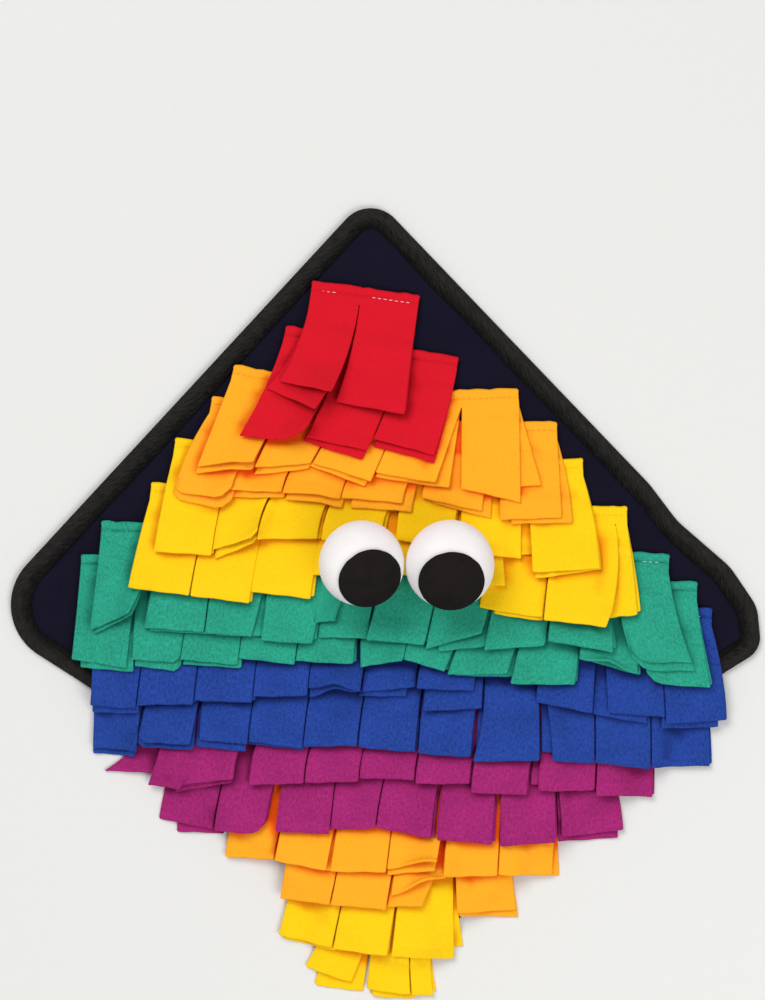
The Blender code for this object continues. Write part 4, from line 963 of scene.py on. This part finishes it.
def makeBinding(path, inward, at, material, random):
    # a section carried round the outline: along the back, round the fold, over the face and back inside
    shape = matShape
    wide, thick, top = shape["tapeWide"], shape["tapeThick"], shape["tapeTop"]
    radius = top / 2
    turn = np.radians(np.linspace(-90, 90, 11))
    fold = np.column_stack((radius - radius * np.cos(turn), radius + radius * np.sin(turn)))
    runs = np.linspace(radius, wide, 9)[1:]
    seam, deep, spread = shape["hem"]
    over = np.column_stack((runs, top - deep * np.exp(-(((runs - seam) / spread) ** 2))))
    back = np.column_stack((runs[::-1], 0 * runs))
    hem = [(wide + 0.15, top - thick / 2)]
    pocket = shape["marginInset"] - shape["clear"]
    insideTop = [(wide, top - thick), (pocket + 0.4, top - thick), (pocket, top - thick - 0.4)]
    insideLow = [(pocket, thick + 0.2), (pocket + 0.3, thick), (wide, thick)]
    section = np.vstack((back, fold, over, hem, insideTop, insideLow))
    inset, height = section[:, :1], section[:, 1:]
    (stray, strays), (puff, puffs) = shape["tapeWander"], shape["tapePuff"]
    wander = stray * smoothNoise(len(path), strays, random)[None] * (inset > wide - 2.5)
    puff = puff * smoothNoise(len(path), puffs, random)[None] * ((height > 3) & (inset < 8))
    points = path[None] + inward[None] * (inset + wander)[..., None]
    points = np.dstack((points, height + np.minimum(puff, 0)))
    uv = np.stack(np.broadcast_arrays(at[None] / 10, runAlong(section)[:, None] / 10), axis=2)
    quads = gridQuads(len(section), len(path), closedRows=True, closedColumns=True)[:, ::-1]
    return putIn("binding_tape", points.reshape(-1, 3), quads, uv.reshape(-1, 2), [material])


# Eyes

eyeCut = {
    "above": 20.0,  # the ball's height over its widest part
    "below": 17.0,
    "felt": 1.5,
    "clear": 0.3,
    "near": 1.5,  # how far round a point the ball clears the flaps
    "gathers": (14, 0.02),  # round its underside: how many, and how deep in shares of the radius
    "lumps": (0.006, 0.005),  # two soft waves, in shares of the radius
    "rings": 44,
    "around": 72,
    "ragged": 0.008,  # the felt's cut edge
    # down and side: how far the pupil has turned from the top and from straight forward, in degrees
    "left": {"middle": (-13.5, 21.2), "radius": 22.9, "down": 31.5, "side": 30, "spread": 45.5},
    "right": {"middle": (33.8, 20.6), "radius": 23.8, "down": 29, "side": 5, "spread": 45},
}


def ballHeight(name):  # the height of the ball's widest part, from its solid
    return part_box("eye_" + name)[1][2] / mm - eyeCut["above"]


def makeEye(name, ground, material):
    # a ball, r sin t out and h cos t up, whose underside takes the shape of the flaps
    cut, eye = eyeCut, eyeCut[name]
    centre, around = ballHeight(name), cut["around"]
    tilt = np.linspace(0, math.pi, cut["rings"] + 1)[1:-1, None]
    turn = np.arange(around) / around * 2 * math.pi
    gathers = 1 + cut["gathers"][1] * np.clip(-np.cos(tilt), 0, 1) ** 2 * np.cos(turn * cut["gathers"][0])
    lumps = 1 + cut["lumps"][0] * np.sin(3 * turn + 2.1 * tilt) * np.sin(tilt)
    lumps = lumps + cut["lumps"][1] * np.sin(5 * tilt + turn)
    wide = eye["radius"] * np.sin(tilt) * gathers * lumps
    x, y = eye["middle"][0] + wide * np.cos(turn), eye["middle"][1] + wide * np.sin(turn)
    tall = np.where(tilt < math.pi / 2, cut["above"], cut["below"]) * np.cos(tilt)
    z = centre + tall * np.ones_like(turn)
    rests = ground.highestNear(x, y, cut["near"], cut["clear"])
    z = np.where(tilt > math.pi / 2, np.maximum(z, rests), z)
    spot = np.array(eye["middle"])
    low = max(centre - cut["below"], float(ground.highestNear(*spot, cut["near"], cut["clear"])))
    points = np.vstack((np.dstack((x, y, z)).reshape(-1, 3), (*spot, centre + cut["above"]), (*spot, low)))
    rings = len(tilt)
    quads = gridQuads(rings, around, closedColumns=True)
    caps = poleCaps(around, (rings - 1) * around, rings * around)
    return putIn("eyeball_" + name, points, quads, points[:, :2] / 10, [material], None, caps)


def makePupil(name, material, random):
    # felt laid on the ball, out to an angle from its own middle, with a rounded and uneven rim
    cut, eye, around = eyeCut, eyeCut[name], 96
    down, side, spread = [math.radians(eye[key]) for key in ("down", "side", "spread")]
    axis = np.array((math.sin(down) * math.sin(side), -math.sin(down) * math.cos(side), math.cos(down)))
    across = unit(np.cross((0, -1, 0), axis))
    along = np.cross(axis, across)
    turn = np.arange(around) / around * 2 * math.pi
    ragged = 1 + cut["ragged"] * smoothNoise(around, 30, random)
    # rings out over the face, round the rim and back, and their heights in shares of the felt's thickness
    inner = np.linspace(0, 1, 16)[1:] * (1 - 0.03)
    rim = np.array((0.985, 0.996, 1.0, 0.996, 0.985))
    heights = np.concatenate((np.full(15, 1.0), (0.93, 0.75, 0.5, 0.25, 0.07), np.zeros(15)))
    away = np.concatenate((inner, rim, inner[::-1]))[:, None] * spread * ragged
    ring = across * np.cos(turn)[:, None] + along * np.sin(turn)[:, None]
    facing = np.cos(away)[..., None] * axis + np.sin(away)[..., None] * ring
    facing = np.concatenate((facing.reshape(-1, 3), (axis, axis)))
    rings = len(heights)
    heights = np.concatenate((np.repeat(heights, around), (1.0, 0.0)))
    size = np.array((eye["radius"], eye["radius"], cut["above"]))
    middle = np.array((*eye["middle"], ballHeight(name)))
    points = middle + facing * size + unit(facing / size) * (cut["clear"] + cut["felt"] * heights)[:, None]
    quads = gridQuads(rings, around, closedColumns=True)
    caps = poleCaps(around, (rings - 1) * around, rings * around)
    return putIn("pupil_felt_" + name, points, quads, points[:, :2] / 10, [material], None, caps)


# Put together

random = np.random.default_rng(5)
path, inward, at = outlinePath()

panel = makePanel(path, inward, makeGrained("navy_cloth"), random)
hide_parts("panel")
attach(panel, "root")
binding = makeBinding(path, inward, at, makeTape(), random)
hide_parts("binding")
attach(binding, "root")
print("panel and binding made")

ground = Ground(path, inward)
fleece = {colour: makeFleece(colour) for colour in fleeceColours}
threads = {colour: makeThread(colour, seen) for colour, seen in threadColours.items()}
draws = np.random.default_rng(16)
chances = {name: draws.random((len(strip["leans"]), 2)) for name, strip in strips.items()}
for name in reversed(strips):  # the lowest strip first
    colour = name.split("_")[0]
    middle, depths, floor = layStrip(name, ground, chances[name], random)
    piece = coatStrip(name, middle, depths, fleece[colour], random)
    thread = sewStrip(name, floor, colour, threads)
    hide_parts("strip_" + name)
    for made in (piece, thread):
        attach(made, "root")
# painted shade on the fleece, from the pile's mean height near each point and further round
paintedShadeScales = [(ground.around(reach), start, span) for reach, start, span in
           (fleeceLook["paintedShadeNear"], fleeceLook["paintedShadeWide"])]
for name in strips:  # how far each point lies down between flaps, which sets its painted shade
    mesh = bpy.data.objects["fleece_" + name].data
    spots = np.empty(len(mesh.vertices) * 3)
    mesh.vertices.foreach_get("co", spots)
    spots = spots.reshape(-1, 3) / mm
    cells, deep = ground.cells(spots[:, 0], spots[:, 1]), 0
    for means, start, span in paintedShadeScales:
        deep = deep + np.clip((means[cells] - spots[:, 2] - start) / span, 0, 1)
    mesh.attributes.new("hollow", "FLOAT", "POINT").data.foreach_set("value", np.clip(deep, 0, 1))
print("strips laid, top of the pile", round(float(ground.top.max()), 1), "mm")

eyeCloth, felt = makeGrained("white_cloth"), makeGrained("black_felt")
for name in ("left", "right"):
    eye = makeEye(name, ground, eyeCloth)
    pupil = makePupil(name, felt, random)
    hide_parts("eye_" + name)
    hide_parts("pupil_" + name)
    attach(eye, "root")
    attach(pupil, "root")
print("eyes made")

# Floor, light and camera

studio = {
    "pixel": 0.54,  # mm, one pixel of the photograph
    "tall": 1000,  # its pixels from top to bottom
    "middle": (-2.2, 55.1),  # what the camera looks straight down at
    "height": 3000.0,
    "sharp": 10.0,  # the height above the floor where the scale holds
    "sensor": 36.0,
    "lamps": {  # where each is and its size across, in m, and its power in W
        "key": ((-1.0, 1.53, 2.43), 1.9, 49.0),
        "fill": ((0.7, -0.9, 1.5), 1.2, 15.0),
    },
    "sky": 0.44,
    "skyColour": (1.0, 0.99, 0.98, 1.0),
    "floor": (226, 226, 224),
    "floorHalf": 3000.0,
    "paperGrain": 0.004,  # m
}
floorFinish = Finish("floor_paper", {"Roughness": 0.9, "Specular IOR Level": 0.2})
paper = floorFinish.noise(floorFinish.place(), studio["paperGrain"], 3.0)
paperShades = linear(*studio["floor"], 0.97), linear(*studio["floor"])
floorFinish.show(floorFinish.blend(paper, *paperShades), paper, 0.02)
corners = np.array(((-1, -1, 0), (1, -1, 0), (1, 1, 0), (-1, 1, 0))) * studio["floorHalf"]
floorPiece = putIn("floor", corners, np.array(((0, 1, 2, 3),)), corners[:, :2] / 10, [floorFinish.material])


def makeLamp(name, place, size, power):  # a round lamp that faces the origin
    lamp = bpy.data.lights.new(name, "AREA")
    lamp.shape = "DISK"
    lamp.size = size
    lamp.energy = power
    holder = putThing(name, lamp)
    holder.location = place
    x, y, z = -unit(np.array(place))
    holder.rotation_euler = (math.acos(-z), 0, math.atan2(y, x) - math.pi / 2)


for name, lamp in studio["lamps"].items():
    makeLamp(name, *lamp)
world = bpy.data.worlds.new("studio")
world.use_nodes = True
world.node_tree.nodes["Background"].inputs["Color"].default_value = studio["skyColour"]
world.node_tree.nodes["Background"].inputs["Strength"].default_value = studio["sky"]
bpy.context.scene.world = world

lens = bpy.data.cameras.new("camera")
lens.sensor_fit = "VERTICAL"
lens.sensor_height = studio["sensor"]
lens.lens = studio["sensor"] * (studio["height"] - studio["sharp"]) / (studio["tall"] * studio["pixel"])
lens.clip_end = 20.0
camera = putThing("camera", lens)
camera.location = (studio["middle"][0] * mm, studio["middle"][1] * mm, studio["height"] * mm)
bpy.context.scene.camera = camera
bpy.context.scene.view_settings.view_transform = "Standard"
